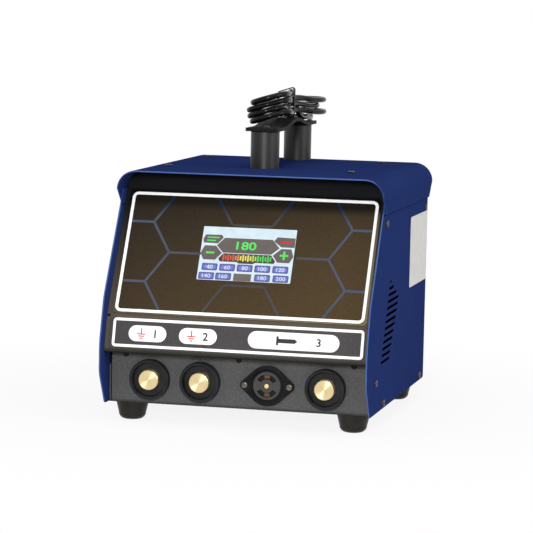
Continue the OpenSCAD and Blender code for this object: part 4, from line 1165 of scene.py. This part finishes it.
# Screws of the case and the receptacle
case_head_d = 8
case_hex = 3
case_hex_depth = 1.3
side_spots = [(91, 230), (49, 56), (94, 27.5), (case_d - 29.5, 27.5), (case_d - 15.5, 230)]
side_places = [(sign * side_x, knee_y + behind, z) for sign in (-1, 1) for behind, z in side_spots]
side_axes = [(math.copysign(1, place[0]), 0, 0) for place in side_places]
hood_screw_w = 216
hood_screw_y = (-30.25, 148.25)
hood_places = [(handle_x + sign * hood_screw_w / 2, y, case_h) for sign in (-1, 1) for y in hood_screw_y]
lower_head_d = 6
lower_screw_x = (-131, 0, 131)
lower_screw_h = 75.5
lower_places = [(x, low_y, lower_screw_h) for x in lower_screw_x]
cross_length = 3.4
cross_w = 0.9
cross_depth = 1.2
control_head_d = 7.5
slot_length = 5
slot_w = 1.1
slot_depth = 1
control_screws = 51.2
control_flange = 4.2
control_y = low_y - control_flange
control_places = [(control_x + sign * control_screws / 2, control_y, socket_h) for sign in (-1, 1)]
upward = (0, 0, 1)
forward = (0, -1, 0)

screw_heads("side_screw_heads", side_places, side_axes, case_head_d, hex_recess(case_hex), case_hex_depth,
            "side_screws", bronzed_steel)
screw_heads("hood_screw_heads", hood_places, [upward] * len(hood_places), case_head_d, hex_recess(case_hex),
            case_hex_depth, "hood_screws")
screw_heads("lower_screw_heads", lower_places, [forward] * len(lower_places), lower_head_d,
            cross_recess(cross_length, cross_w), cross_depth, "lower_panel_screws")
screw_heads("control_screw_heads", control_places, [forward] * len(control_places), control_head_d,
            slot_recess(slot_length, slot_w), slot_depth, "control_screws_pair", worn_steel)


# Moulded plug at the lead's far end
plug_sides = 48
plug_neck = 26
plug_length = 60
plug_r = 12.95
plug_waist_r = 12.2
plug_ribs = 5
rib_groove = 0.7
rib_first = 2
rib_r = 4.3
rib_flare = 2.2
rib_h = 2.6
groove_from = 3
groove_to = 4
axis_r = 0.1


def plug_profile():
    """Radius and depth below the cord's end: a ribbed neck, a waisted grip and a flat face."""
    profile = [(axis_r, 0), (4.2, 0)]
    for i in range(plug_ribs):
        depth = rib_first + i * (plug_neck - 2 * rib_first) / plug_ribs
        radius = rib_r + rib_flare * i / plug_ribs
        groove = radius - rib_groove
        profile += [(radius, depth), (radius, depth + rib_h)]
        profile += [(groove, depth + groove_from), (groove, depth + groove_to)]
    profile += [(7, plug_neck), (9.5, plug_neck + 4), (12.4, plug_neck + 9), (12.9, plug_neck + 13)]
    profile += [(plug_waist_r, plug_neck + 19), (plug_waist_r, plug_neck + 24), (plug_r, plug_neck + 29)]
    profile += [(plug_r, plug_length - 0.8), (plug_waist_r, plug_length), (axis_r, plug_length)]
    return profile


def add_plug():
    shape = bmesh.new()
    rings = []
    for radius, depth in plug_profile():
        ring = []
        for i in range(plug_sides):
            angle = 2 * math.pi * i / plug_sides
            ring.append(shape.verts.new((radius * math.cos(angle), radius * math.sin(angle), -depth)))
        rings.append(ring)
    for low_ring, high_ring in zip(rings, rings[1:]):
        add_walls(shape, low_ring, high_ring)
    shape.faces.new(rings[0])
    shape.faces.new(list(reversed(rings[-1])))
    piece = new_piece("plug_shell", shape, Matrix.Translation(tail_end), finishes["black_plastic"])
    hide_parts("plug_body")
    return piece


plug_shell = add_plug()
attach(mains_lead, "case")
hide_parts("cord_lead", "cord_hank", "cord_tail")


# Floor, light and background, in metres
floor_half = 60
floor_grey = 0.88
shadow_near = 0.2
shadow_far = 0.7
shadow_veil = 0.88
room_light = 0.3
white = (1, 1, 1)
lamp_aim = (0, 0, 0.15)
lamps = [
    ("top_box", (0.1, -0.5, 2.3), (1.8, 1.8), 18),
    ("front_box", (0.25, -2.4, 0.75), (0.32, 0.36), 36),
    ("right_box", (2.2, -0.6, 0.9), (1.2, 1.2), 20),
]


def background_rays(tree):
    """1 for the rays that see the background: straight from the camera, or by a mirror or glass."""
    rays = tree.nodes.new("ShaderNodeLightPath").outputs
    direct = combined(tree, "MAXIMUM", rays["Is Camera Ray"], rays["Is Glossy Ray"])
    return combined(tree, "MAXIMUM", direct, rays["Is Transmission Ray"])


def show_mix(tree, factor, first, second, output):
    """Sends two shaders, mixed by a factor, to the output."""
    mix = tree.nodes.new("ShaderNodeMixShader")
    tree.links.new(factor, mix.inputs["Fac"])
    tree.links.new(first, mix.inputs[1])
    tree.links.new(second, mix.inputs[2])
    tree.links.new(mix.outputs["Shader"], tree.nodes[output].inputs["Surface"])


def floor_veil(tree):
    """How white the floor looks: a little veiled close to the part, and fully white further out."""
    reach = tree.nodes.new("ShaderNodeVectorMath")
    reach.operation = "LENGTH"
    tree.links.new(place_on_part(tree), reach.inputs[0])
    veil = mapped(tree, reach.outputs["Value"], shadow_near, shadow_far, shadow_veil, 1)
    veil.node.interpolation_type = "SMOOTHSTEP"
    return combined(tree, "MULTIPLY", veil, background_rays(tree))


def add_floor():
    """A pale floor that keeps the shadow close to the part and turns white further out."""
    mesh = bpy.data.meshes.new("floor")
    corners = box_outline(-floor_half, -floor_half, floor_half, floor_half)
    mesh.from_pydata([(x, y, 0) for x, y in corners], [], [(0, 1, 2, 3)])
    material = bpy.data.materials.new("floor")
    material.use_nodes = True
    tree = material.node_tree
    shader = tree.nodes["Principled BSDF"]
    shader.inputs["Base Color"].default_value = (floor_grey, floor_grey, floor_grey, 1)
    shader.inputs["Roughness"].default_value = 0.9
    bright = tree.nodes.new("ShaderNodeEmission")
    show_mix(tree, floor_veil(tree), shader.outputs["BSDF"], bright.outputs["Emission"], "Material Output")
    mesh.materials.append(material)
    link(bpy.data.objects.new("floor", mesh))


def add_softbox(name, spot, size, watts):
    lamp = bpy.data.lights.new(name, "AREA")
    lamp.shape = "RECTANGLE"
    lamp.size = size[0]
    lamp.size_y = size[1]
    lamp.energy = watts
    box = link(bpy.data.objects.new(name, lamp))
    box.location = spot
    box.rotation_euler = (Vector(lamp_aim) - Vector(spot)).to_track_quat("-Z", "Y").to_euler()


def add_world():
    """A dim, even light from all round, before a background that looks white."""
    world = bpy.data.worlds.new("studio")
    bpy.context.scene.world = world
    world.use_nodes = True
    tree = world.node_tree
    room = tree.nodes["Background"]
    room.inputs["Color"].default_value = opaque(white)
    room.inputs["Strength"].default_value = room_light
    seen = tree.nodes.new("ShaderNodeBackground")
    seen.inputs["Color"].default_value = opaque(white)
    show_mix(tree, background_rays(tree), room.outputs["Background"], seen.outputs["Background"],
             "World Output")


add_floor()
add_world()
for name, spot, size, watts in lamps:
    add_softbox(name, spot, size, watts)
bpy.context.scene.view_settings.view_transform = "Standard"
